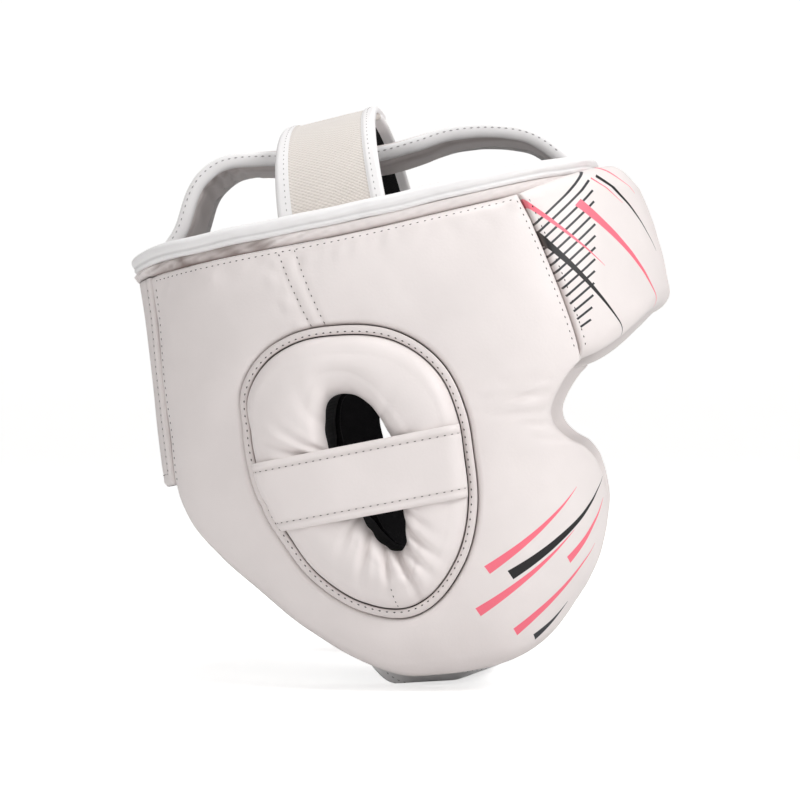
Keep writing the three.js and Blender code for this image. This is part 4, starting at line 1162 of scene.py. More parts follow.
@dataclass
class EarPad:
    """Raised ring of padding round the ear hole, its welt and the strap across it."""

    gear: Headgear
    side: Side
    proud: float = 6.0
    fullness: float = 1.1
    edge_rounding: float = 9.0
    hole_rounding: float = 11.0
    thickness: float = 26.0
    welt_proud: float = 1.2
    strap_width: float = 34.0
    strap_thickness: float = 2.6
    strap_rise: float = 2.2
    strap_slope: float = 1.5
    strap_gap: float = 0.7
    wall_slope: float = 0.3
    pale_wall: tuple[int, int] = (120, 205)
    foot_bearing: float = 273.0
    folds: tuple[tuple[float, float, float], ...] = (
        (226, 3.4, 0.8), (240, 3.0, 1.4), (251, 2.6, 1.2), (262, 2.8, 1.7), (274, 2.6, 1.5),
        (287, 3.0, 1.4), (303, 3.6, 0.9), (24, 3.4, 0.9), (37, 3.2, 1.6), (47, 2.8, 1.1),
        (66, 4.0, 0.7), (118, 4.0, 0.5), (140, 4.5, 0.6), (196, 5.0, 0.5))

    def relief(self, bearing: np.ndarray, beyond: np.ndarray) -> np.ndarray:
        """Gathers that run out from the hole.

        Args:
            bearing: Bearings in degrees.
            beyond: Distances beyond the hole.

        Returns:
            Outward relief.
        """
        total = np.zeros(np.broadcast(bearing, beyond).shape)
        for index, (middle, width, depth) in enumerate(self.folds):
            swing = 2.2 * np.sin(beyond / 9 + index)
            off = (np.mod(bearing - middle - swing + 180, 360) - 180) / width
            length = 9 + 9 * depth
            total += depth * bell(beyond, 0, length) * (0.5 * bell(np.abs(off), 1.7, 1) - bell(off, 0, 1))
        fine = np.sin(np.radians(bearing) * 31) * bell(beyond, 0, 5)
        return total * 1.35 + 0.2 * fine

    def build(self) -> None:
        """Makes the ear pad, the welt and the strap."""
        gear, ear = self.gear, self.gear.ear
        bearing = np.arange(360.0)[:, None]
        hole, pad = ear.hole_reach(bearing), ear.pad_reach(bearing)
        inset, drop = (v[None, :] for v in quarter(13))
        crown = np.linspace(0, 1, 16)[None, 1:-1]
        start, end = hole + self.hole_rounding, pad - self.edge_rounding
        deep = np.array([[26.0, 20.0, 14.0, 9.0, 7.0]])
        slope = self.wall_slope * np.cos(np.radians(bearing)) * (deep - self.hole_rounding + self.proud)
        distance = np.concatenate([
            hole + 0.3 + slope, hole + self.hole_rounding * inset, start + (end - start) * crown,
            pad - self.edge_rounding * inset[:, ::-1], pad - 0.3, pad - 0.3, (hole + pad) / 2], axis=1)
        depth = np.concatenate([
            deep + 0 * hole,
            self.hole_rounding * drop - self.proud + 0 * hole,
            -self.proud - self.fullness * np.sin(np.pi * crown) + 0 * hole,
            self.edge_rounding * drop[:, ::-1] - self.proud + 0 * hole,
            np.full_like(hole, deep[0, -1]),
            np.full_like(hole, self.thickness), np.full_like(hole, self.thickness)], axis=1)
        turn, height = ear.spot(bearing, distance)
        beyond = distance - hole
        mask = np.zeros(depth.shape[1])
        mask[deep.shape[1] + 1:deep.shape[1] + 2 * inset.shape[1] + crown.shape[1] - 2] = 1
        relief = self.relief(bearing, beyond) * mask + 0.25 * ripple(turn * RIPPLE_ARC, height, 30, 17) * mask
        # Painted shade in the valleys of the gathers, and on the outer wall where it drops into the groove
        # round the pad
        shade = np.clip(-relief - 0.35, 0, 1) * 0.22
        last = shade.shape[1]
        shade[:, last - 7:last - 2] += np.linspace(0, 0.5, 5)
        points = gear.surface(self.side, turn, height, depth - relief)
        uv = gear.shell.panel(turn, height)
        inside = deep.shape[1] + 1
        slots = np.tile([1 if row < inside or row >= last - 2 else 0 for row in range(last)], (len(hole), 1))
        slots[slice(*self.pale_wall), 1:inside] = 0
        obj = loft(f"ear_padding_{self.side.label}", points, True, uv, shade, slots)
        dress(obj, Slot.LEATHER, gear.finishes.leather, gear.finishes.lining,
              replaces=[f"ear_pad_{self.side.label}"])
        self.welt()
        self.strap()
        turn, height = ear.spot(self.foot_bearing, ear.pad_reach(self.foot_bearing) - np.linspace(1, 12, 12))
        gear.sew(self.side, turn, height, obj)

    def welt(self) -> None:
        """Makes the piped welt with its stitched line."""
        gear, ear = self.gear, self.gear.ear
        bearing = np.arange(360.0)[:, None]
        inside = ear.opening_reach(bearing) - ear.welt_width
        angle = np.linspace(-0.1, 1.1, 11)[None, :] * np.pi
        distance = inside + ear.welt_width * (0.5 - 0.53 * np.cos(angle))
        depth = 0.6 - self.welt_proud * np.sin(angle) + 0 * inside
        distance = np.concatenate([inside + 0.3, distance, inside + ear.welt_width - 0.3], axis=1)
        depth = np.concatenate([np.full_like(inside, 8.0), depth, np.full_like(inside, 8.0)], axis=1)
        turn, height = ear.spot(bearing, distance)
        # Painted shade over the whole welt, darker where it sinks into the groove
        shade = np.broadcast_to(0.14 + np.clip((depth + 0.1) / 1.2, 0, 1) * 0.4, depth.shape)
        uv = gear.shell.panel(turn, height)
        points = gear.surface(self.side, turn, height, depth)
        obj = loft(f"ear_welt_piping_{self.side.label}", points, True, uv, shade)
        dress(obj, Slot.BINDING, gear.finishes.leather, replaces=[f"ear_welt_{self.side.label}"])
        around = np.linspace(0, 360, 400)
        turn, height = ear.spot(around, ear.opening_reach(around) - 2.9)
        gear.sew(self.side, turn, height, obj)

    def pad_depth(self, inside: np.ndarray) -> np.ndarray:
        """Depth of the ear pad's leather at distances inside its outline."""
        share = np.clip(inside / self.edge_rounding, 0, 1)
        return self.edge_rounding * (1 - np.sqrt(1 - (1 - share) ** 2)) - self.proud

    def strap(self) -> None:
        """Makes the strap with its turned and sewn edges."""
        gear, ear = self.gear, self.gear.ear
        share = np.linspace(-0.5, 0.5, 41)
        slope = math.tan(math.radians(self.strap_slope))

        def line(run: Any, part: Any) -> Any:
            """Height over the ear's middle at a run along the strap and a share of its width."""
            return part * self.strap_width + self.strap_rise + run * slope

        def edge(part: float, way: int) -> float:
            """Run at which the strap meets the pad's outline."""
            near, far = 0.0, ear.opening_height
            for _ in range(24):
                run = (near + far) / 2
                high = line(run * way, part)
                outline = float(ear.pad_reach(math.degrees(math.atan2(high, run * way))))
                near, far = (run, far) if math.hypot(run, high) < outline - 0.2 else (near, run)
            return near * way

        ends = np.array([[edge(part, -1), edge(part, 1)] for part in share])
        ease = (1 - np.cos(np.linspace(0, np.pi, 60))) / 2
        run = ends[None, :, 0] + (ends[None, :, 1] - ends[None, :, 0]) * ease[:, None]
        high = line(run, share[None, :])
        inside = ear.pad_reach(np.degrees(np.arctan2(high, run))) - np.hypot(run, high)
        under = self.pad_depth(inside + self.strap_gap) - self.strap_gap
        away = (0.5 - np.abs(share))[None, :] * self.strap_width
        hem, sewn = bell(away, 2.2, 1.1), bell(away, 4.0, 0.7)
        edge_drop = np.clip(1 - away / 1.2, 0, 1) ** 2
        lift = self.strap_thickness + 0.35 * hem - 0.35 * sewn - 0.9 * edge_drop
        sag = 0.5 * bell(run, 0, 14) * (1 - 4 * share[None, :] ** 2)
        lift = lift + 0.35 * ripple(run, high, 28, 29) - sag
        turn, height = ear.turn + run / ear.arc_per_turn, ear.height + high
        over = gear.surface(self.side, turn, height, under - lift)
        below = gear.surface(self.side, turn, height, under)
        uv = gear.shell.panel(closed_section(turn, turn), closed_section(height, height))
        # Painted shade along the sewn dents near the strap's edges
        shade = closed_section(np.broadcast_to(0.25 * sewn, over.shape[:2]), np.zeros(over.shape[:2]))
        obj = loft(f"ear_strap_leather_{self.side.label}", closed_section(over, below), False, uv, shade)
        dress(obj, Slot.LEATHER, gear.finishes.leather, replaces=[f"ear_strap_{self.side.label}"])
        for row in (5, 35):
            path, outer = over[2:-2, row], over[2:-2, row] - below[2:-2, row]
            gear.stitching.run(path, outer / np.linalg.norm(outer, axis=1, keepdims=True))


@dataclass
class Brow:
    """Padded brow with its lining."""

    gear: Headgear
    thickness: float = 30.0
    lining_thickness: float = 2.0
    arch: float = 18.0
    arch_spread: float = 1.35
    foot_rounding: float = 9.0
    crest_rise: float = 8.0
    seam_gap: float = 0.7
    seam_rounding: float = 2.4
    fullness: float = 1.2
    crest: Rows = ((0, 0.3), (0.2, 0.8), (0.5, 1.0), (0.78, 0.5), (0.97, 0.0))
    fall: Rows = ((0, 0.45), (0.2, 0.1), (0.5, 0.0), (0.78, 0.0), (0.97, 0.0))

    def foot(self, part: np.ndarray) -> np.ndarray:
        """Height of the lower edge."""
        shell = self.gear.shell
        arched = smoothstep(self.arch_spread * (1 - np.abs(part)), 0, 1)
        return shell.cheek_top * shell.height + self.arch * arched

    def build(self) -> None:
        """Makes the pad and its lining."""
        gear, shell = self.gear, self.gear.shell
        half = float(shell.front_seam(shell.height)) * shell.arc_per_turn
        inset, drop = quarter(7)
        ends = 1 - self.seam_rounding * inset / half
        inner = np.linspace(-ends[-1], ends[-1], 170)[1:-1]
        part = np.concatenate([-ends, inner, ends[::-1]])[:, None]
        sink = np.concatenate([drop, np.zeros(len(inner)), drop[::-1]])[:, None] * self.seam_rounding
        foot, turn_top = self.foot(part), part * shell.front_seam_top
        top, rounding = shell.top_height(turn_top), shell.top_rounding(turn_top)
        rise = self.crest_rise * (1 - part**2)
        round_in, round_drop = (v[None, :] * self.foot_rounding for v in quarter(9))
        back = np.linspace(0, 0.97, 22)[None, :]
        crest_height = top + smooth_value(self.crest, back) * rise - smooth_value(self.fall, back) * rounding
        face = np.linspace(0, 1, 38)[None, 1:-1]
        low = foot + self.foot_rounding
        height = np.concatenate([foot + round_in, low + (crest_height[:, :1] - low) * face, crest_height,
                                 top, (foot + top) / 2, foot], axis=1)
        bulge = self.fullness * np.sin(np.pi * face) ** 0.6
        depth = np.concatenate([round_drop + 0 * foot, -bulge + 0 * foot, back * rounding,
                                np.full((len(part), 3), self.thickness)], axis=1)
        visible = np.zeros(depth.shape[1])
        visible[2:-4] = 1
        turn = part * (shell.front_seam(height) - self.seam_gap / shell.arc_per_turn / 2)
        across = turn * RIPPLE_ARC
        wave = 0.35 * ripple(across, height, 40, 33) + 0.1 * ripple(across, height, 12, 35)
        depth = np.maximum(depth, sink) - wave * visible * (sink < 0.1)
        points = gear.lie.world(shell.place(turn, height, depth))
        uv = shell.panel(np.abs(turn), height)
        # Painted shade along the seams to the side pads
        near_seam = bell((1 - np.abs(part)) * half, 0, 1.2) * visible[None, :] * 0.3
        obj = loft("brow_padding", points, False, uv, near_seam)
        dress(obj, Slot.LEATHER, gear.finishes.brow, replaces=["brow_pad"])
        self.line(part)
        for side in Side:
            heights = np.linspace(shell.height * 0.645, shell.height * 0.99, 60)
            gear.sew(side, shell.front_seam(heights) - 1.5, heights, obj)

    def line(self, part: np.ndarray) -> None:
        """Makes the brow's lining."""
        gear, shell = self.gear, self.gear.shell
        low, high = self.thickness + shell.gap, self.thickness + shell.gap + self.lining_thickness
        rows = np.linspace(0, 1, 20)[None, :]
        top = shell.top_height(part * shell.front_seam_top)
        rise = np.concatenate([np.array([[1.0, 0.5, 0.0]]), rows], axis=1)
        height = self.foot(part) + (top - self.foot(part)) * rise
        soft = 0.9 * np.sin(np.pi * rows) ** 0.5 + 0 * part
        depth = np.concatenate([np.full((len(part), 3), low), high + soft], axis=1)
        turn = part * (shell.front_seam(height) - self.seam_gap / shell.arc_per_turn / 2)
        uv = shell.panel(turn, height)
        obj = loft("lining_brow", gear.lie.world(shell.place(turn, height, depth)), False, uv)
        dress(obj, Slot.LINING, gear.finishes.lining, replaces=["brow_lining"])
        sewn_sheet(obj, np.concatenate([uv[:, 0], uv[::-1, 2]]))


@dataclass
class Rim:
    """Leather roll and fat binding round the open crown."""

    gear: Headgear
    roll: Rows = ((0, 0.75), (0.15, 1.0), (0.3, 0.86), (0.5, 1.12), (0.75, 1.1), (0.92, 0.7), (1.0, 0.25))

    def build(self) -> None:
        """Makes the flange and the binding."""
        gear, shell = self.gear, self.gear.shell
        turn = np.linspace(0, 360, 481)[:-1, None]
        arc = turn * shell.arc_per_turn
        rise = np.linspace(0, 1, 22)[None, :]
        half, foot = shell.rim_thickness / 2, shell.rim_top - shell.rim_height
        out = smooth_value(self.roll, rise) * half
        wave = 0.3 * ripple(arc, 0 * arc, 17, 41) + 0.14 * ripple(arc, rise * 20, 6, 43)
        gathered = 0.18 * np.sin(arc / 1.9 + 2 * np.sin(arc / 23)) * bell(rise, 0.3, 0.12)
        outer = -(out + (wave + gathered) * np.sin(np.pi * rise))
        depth = closed_section(outer + 0 * turn, out + 0 * turn)
        both = closed_section(rise, rise)
        height = foot + shell.rim_height * both + 0.35 * ripple(arc, 0 * arc, 40, 45)
        # Painted shade in the groove between the roll's two rounds
        shade = 0.34 * bell(both, 0.3, 0.07) + 0 * turn
        uv = np.stack(np.broadcast_arrays(arc, height), axis=-1)
        obj = loft("rim_roll", gear.lie.world(shell.rim_point(turn, height, depth)), True, uv, shade)
        dress(obj, Slot.BINDING, gear.finishes.tape, replaces=["rim_binding"])
        self.flange(turn, arc)

    def flange(self, turn: np.ndarray, arc: np.ndarray) -> None:
        """Makes the gathered leather flange under the binding."""
        gear, shell = self.gear, self.gear.shell
        half, foot = shell.flange_thickness / 2, shell.height + shell.gap
        rise = np.linspace(0, 1, 12)[None, :]
        back = smoothstep(-np.cos(np.radians(turn)), 0.1, 0.8)
        across = np.abs(np.mod(turn + 180, 360) - 180)
        sunk = smoothstep(across, 119, 126) * (1 - smoothstep(across, 152, 160))
        belly = (0.9 + 0.9 * back) * np.sin(np.pi * rise) * (1 - sunk)
        creased = (0.25 + 0.75 * back) * ripple(arc, rise * 12, 9, 51) * np.sin(np.pi * rise)
        pressed = 2.4 * sunk * (1 + 0.3 * ripple(arc, rise * 9, 14, 53))
        outer = np.minimum(-(half + belly + creased) + pressed, half - 0.4)
        depth = closed_section(outer, half + 0 * outer)
        height = foot + (shell.flange_height + 0.4) * closed_section(rise, rise) + 0 * turn
        # Painted shade in the creases' valleys, along the flange's foot, and strongest in the pressed hollow
        # at the back
        hollow_shade = 0.45 * sunk * (1 + 0.6 * ripple(arc, rise * 9, 11, 55))
        shade = np.clip(-creased, 0, 1) * 0.35 + 0.5 * bell(rise, 0, 0.15) + np.clip(hollow_shade, 0, 1)
        shade = np.concatenate([shade, 0 * outer], axis=1)
        uv = np.stack(np.broadcast_arrays(arc, height), axis=-1)
        obj = loft("flange_leather", gear.lie.world(shell.rim_point(turn, height, depth)), True, uv, shade)
        dress(obj, Slot.LEATHER, gear.finishes.leather, replaces=["top_flange"])


@dataclass
class NapeFlap:
    """One flap of the closure at the nape."""

    gear: Headgear
    side: Side
    thickness: float = 3.0
    drop: float = 98.0
    end_turn: float = 191.0
    step_turn: float = 9.0
    seam_gap: float = 0.7
    seam_inset: float = 6.0

    def build(self) -> None:
        """Makes the flap with its bound edges."""
        gear, shell = self.gear, self.gear.shell
        start = shell.back_seam + self.seam_gap / shell.arc_per_turn
        turn = np.linspace(start, self.end_turn, 60)[:, None]
        foot, top = shell.height - self.drop, shell.top_height(turn)
        rows = np.linspace(0, 1, 44)[None, :]
        height = foot + (top - foot) * rows
        under = self.side is Side.LEFT
        sink = (self.thickness + shell.gap) * smoothstep(turn - start, 0, self.step_turn) * under
        ends = np.minimum((turn - start) * shell.arc_per_turn + 1.2,
                          (self.end_turn - turn) * shell.arc_per_turn)
        edge = np.minimum(height - foot, ends)
        hem = 0.45 * bell(edge, 3.0, 1.6) - 0.35 * bell(edge, self.seam_inset, 0.8)
        slim = np.clip(1 - edge / 1.5, 0, 1) ** 2
        wave = 0.3 * ripple(turn * RIPPLE_ARC, height, 35, 61)
        outer = sink - hem + slim - wave * np.clip(edge / 10, 0, 1)
        inner = sink + self.thickness + 0 * height
        depth, tall = closed_section(outer, inner), closed_section(height, height)
        # Painted shade along the sewn dent above the flap's edges
        shade = closed_section(0.3 * bell(edge, self.seam_inset, 0.7), 0 * height)
        uv = shell.panel(turn, tall)
        top_row = rows.size - 1
        slots = [0] * top_row + [1] * (rows.size + 1)
        points = gear.surface(self.side, turn, tall, depth)
        obj = loft(f"nape_flap_leather_{self.side.label}", points, False, uv, shade, slots)
        dress(obj, Slot.LEATHER, gear.finishes.leather, gear.finishes.lining,
              replaces=[f"nape_flap_{self.side.label}"])
        sewn_sheet(obj, np.concatenate([uv[:, 0], uv[::-1, top_row]]))
        heights = np.linspace(foot + self.seam_inset, float(shell.top_height(start)) - 3, 60)
        gear.sew(self.side, np.full(60, start + 1.6), heights, obj)
        if not under:
            turns = np.linspace(start + 2, self.end_turn - 2.5, 40)
            gear.sew(self.side, turns, np.full(40, foot + self.seam_inset), obj)
            gear.sew(self.side, np.full(60, self.end_turn - 3), heights, obj)


@dataclass
class Crown:
    """Band fore and aft with its pipings, and the strap from ear to ear."""

    gear: Headgear
    rise: float = 48.0
    width: float = 40.0
    thickness: float = 13.0
    piping: float = 5.0
    piping_tall: float = 1.5
    strap_width: float = 47.0
    strap_thickness: float = 3.0
    strap_middle: float = 20.0
    strap_clearance: float = 1.6
    strap_flare: float = 7.0
    strap_overlap: float = 26.0
    strap_run: float = 150.0
    tail_thickness: float = 0.46
    tail_lift: float = 3.0
    binding_width: float = 6.3
    line: Rows = ((0.035, -0.05), (0.085, 0.18), (0.13, 0.53), (0.168, 0.69), (0.22, 0.773), (0.3, 0.73),
                  (0.42, 0.61), (0.55, 0.507), (0.66, 0.52), (0.73, 0.552), (0.8, 0.525), (0.865, 0.45),
                  (0.915, 0.346), (0.95, 0.2), (0.978, 0.03))
    body: Rows = ((0.035, 0.55), (0.085, 0.6), (0.13, 0.62), (0.168, 0.66), (0.22, 0.7), (0.3, 0.86),
                  (0.42, 0.96), (0.55, 1.0), (0.66, 0.92), (0.73, 0.74), (0.8, 0.62), (0.865, 0.54),
                  (0.915, 0.5), (0.95, 0.46), (0.978, 0.46))

    def stations(self) -> np.ndarray:
        """Middle line of the band: y, z and half thickness."""
        shell = self.gear.shell
        clear = shell.rim_thickness / 2 + shell.gap
        tail = self.tail_thickness * self.thickness / 2
        corner = self.width / 2 + shell.gap + self.piping
        inset = clear + max(tail, self.piping / 2)
        back_turn = 180 - math.degrees(math.atan2(corner, shell.back_reach))
        front_turn = math.degrees(math.atan2(corner, shell.front_reach - shell.rim_inset_front))
        back = float(shell.rim_point(back_turn, 0, inset)[1])
        front = float(shell.rim_point(front_turn, 0, inset)[1])
        run = np.linspace(self.line[0][0], self.line[-1][0], 130)
        y = back + (front - back) * run
        lift = shell.back_lift + (shell.front_lift - shell.back_lift) * run
        z = shell.rim_top + lift + smooth_value(self.line, run) * self.rise
        half = smooth_value(self.body, run) * self.thickness / 2
        foot = shell.height + shell.gap
        tails = [np.array([[end, foot + up + q * shell.flange_height, tail] for q in order])
                 for end, up, order in ((back, shell.back_lift, (0, 1)), (front, shell.front_lift, (1, 0)))]
        return np.concatenate([tails[0], np.stack([y, z, half], axis=1), tails[1]])

    def build(self) -> None:
        """Makes the band, its pipings and the strap."""
        rows = self.stations()
        ahead = np.gradient(rows[:, :2], axis=0)
        out = np.stack([ahead[:, 1], -ahead[:, 0]], axis=1)
        out /= np.linalg.norm(out, axis=1, keepdims=True)
        out *= np.sign(np.sum(out * (rows[:, :2] - [0, self.gear.shell.height]), axis=1, keepdims=True))
        self.band(rows, out)
        for side in Side:
            self.pipe(rows, out, side)
            self.strap(side, rows)

    def band(self, rows: np.ndarray, out: np.ndarray) -> None:
        """Makes the padded band.

        Args:
            rows: Stations of the middle line.
            out: Outward directions at the stations.
        """
        gear = self.gear
        angle = np.linspace(0, 2 * np.pi, 49)[:-1]
        across = np.sign(np.cos(angle)) * np.abs(np.cos(angle)) ** 0.45 * self.width / 2
        lift = np.sign(np.sin(angle)) * np.abs(np.sin(angle)) ** 0.55
        run = np.linspace(0, 1, len(rows))[:, None]
        under = np.sin(angle)[None, :] < 0
        bend = bell(run, 0.17, 0.07)
        wrinkle = 1.1 * np.sin(run * 190 + 1.5 * np.sin(across[None, :] / 7)) * bend * (0.35 + 0.65 * under)
        wrinkle = wrinkle + 0.35 * ripple(run * 260, across[None, :], 26, 71)
        edge = bell(np.abs(across), 15.5, 1.2)[None, :] * (np.abs(lift) > 0.5)[None, :]
        height = rows[:, 2:3] * lift[None, :] + (wrinkle - 0.45 * edge) * lift[None, :]
        points = np.empty((len(rows), len(angle), 3))
        points[..., 0] = across[None, :]
        points[..., 1] = rows[:, 0:1] + out[:, 0:1] * height
        points[..., 2] = rows[:, 1:2] + out[:, 1:2] * height
        # Painted shade in the wrinkles' valleys, along the edges, and over the whole underside
        shade = np.clip(-wrinkle, 0, 1) * 0.25 + 0.16 * edge + 0.12 * under
        length = run_along(rows[:, :2])[:, None]
        uv = np.stack(np.broadcast_arrays(length, across[None, :] + 60 * under), axis=-1)
        obj = loft("crown_band_padding", gear.lie.world(points), False, uv, shade)
        dress(obj, Slot.LEATHER, gear.finishes.leather, replaces=["crown_band"])

    def pipe(self, rows: np.ndarray, out: np.ndarray, side: Side) -> None:
        """Makes the piping along one edge of the band with its stitches.

        Args:
            rows: Stations of the middle line.
            out: Outward directions at the stations.
            side: Side of the band.
        """
        gear = self.gear
        x = -side * (self.width / 2 + gear.shell.gap + self.piping / 2)
        angle = np.linspace(0, 2 * np.pi, 17)[:-1]
        radius = self.piping / 2 * (1 + 0.05 * ripple(np.arange(len(rows)), 0, 9, 75))[:, None]
        points = np.empty((len(rows), len(angle), 3))
        points[..., 0] = x + radius * np.sin(angle)[None, :]
        points[..., 1] = rows[:, 0:1] + out[:, 0:1] * radius * self.piping_tall * np.cos(angle)[None, :]
        points[..., 2] = rows[:, 1:2] + out[:, 1:2] * radius * self.piping_tall * np.cos(angle)[None, :]
        uv = np.stack(np.broadcast_arrays(np.arange(len(rows))[:, None] * 1.9, angle[None, :] * 3), axis=-1)
        obj = loft(f"band_edge_{side.label}", gear.lie.world(points), False, uv)
        dress(obj, Slot.BINDING, gear.finishes.tape, replaces=[f"band_piping_{side.label}"])
        face = np.stack([np.full(len(rows), x - side * self.piping * 0.49),
                         rows[:, 0] + out[:, 0] * 1.2, rows[:, 1] + out[:, 1] * 1.2], axis=1)
        outward = np.tile([[-float(side), 0.0, 0.0]], (len(rows), 1))
        gear.pale_stitching.run(gear.lie.world(face)[4:-4], outward[4:-4])

    def strap(self, side: Side, rows: np.ndarray) -> None:
        """Makes one half of the strap.

        Args:
            side: Side of the head.
            rows: Stations of the band that the strap clears.
        """
        gear, shell = self.gear, self.gear.shell
        layer = 1 if side is Side.RIGHT else 0
        near = np.abs(rows[:, 0] - self.strap_middle) < self.strap_width
        under = float((rows[near, 1] + rows[near, 2]).max()) + self.strap_clearance
        under += layer * (self.strap_thickness + shell.gap)
        clear = shell.rim_thickness / 2 + shell.gap
        share = np.linspace(-0.5, 0.5, 49)[None, :]
        part = np.concatenate([[0], np.linspace(0, 1, 70)])[:, None]
        away = (0.5 - np.abs(share)) * self.strap_width
        bound = smoothstep(away, self.binding_width + 0.4, self.binding_width - 0.5)
        slim = np.clip(1 - away / 1.3, 0, 1) ** 2
        soft = 0.5 * ripple(part * self.strap_run, share * 40, 60, 81 + layer)
        flare = np.maximum(share, 0) * 2 * self.strap_flare * (1 - part)
        y = self.strap_middle + share * self.strap_width + flare
        earside = abs(float(shell.point(90, shell.height)[0]))
        reach = float(shell.point(180, shell.height)[1])
        bow = (1 - (np.abs(y) / reach) ** shell.power) ** (1 / shell.power)
        foot = earside * bow - shell.rim_inset_side - clear - self.strap_thickness
        angle = part * (np.pi / 2 + np.arcsin(self.strap_overlap / 2 / foot))
        base = shell.rim_top - shell.rim_height

        def skin(lift: Any) -> np.ndarray:
            """Points of the strap at a lift from its underside."""
            x = (foot + lift) * np.cos(angle)
            z = base + (under - base + lift) * np.sin(angle)
            z = np.where(np.arange(len(part))[:, None] == 0, shell.height + shell.gap + self.tail_lift, z)
            return np.stack(np.broadcast_arrays(-side * x, y, z), axis=-1)

        over = skin(self.strap_thickness + 0.6 * bound - 1.0 * slim + soft * 0.5)
        below = skin(0.7 * slim + 0 * part)
        points = gear.lie.world(closed_section(over, below))
        both = closed_section(share, share) * self.strap_width
        uv = np.stack(np.broadcast_arrays(part * self.strap_run, both), axis=-1)
        # Painted shade along the line where the binding meets the pile
        edge = 0.35 * bell(away, self.binding_width, 0.5)
        shade = closed_section(np.broadcast_to(edge, over.shape[:2]), np.zeros(over.shape[:2]))
        tape = (away[0] < self.binding_width).astype(int)
        slots = list(tape[:-1]) + [1] + [1 if t else 2 for t in tape[::-1][:-1]] + [1]
        obj = loft(f"crown_strap_tape_{side.label}", points, False, uv, shade, slots)
        finishes = gear.finishes
        dress(obj, Slot.HOOK_AND_LOOP, finishes.pile, finishes.tape, finishes.lining,
              replaces=[f"crown_strap_{side.label}"])
        for row in (4, 44):
            world_over, world_below = gear.lie.world(over[4:-2, row]), gear.lie.world(below[4:-2, row])
            outward = world_over - world_below
            gear.pale_stitching.run(world_over, outward / np.linalg.norm(outward, axis=1, keepdims=True))


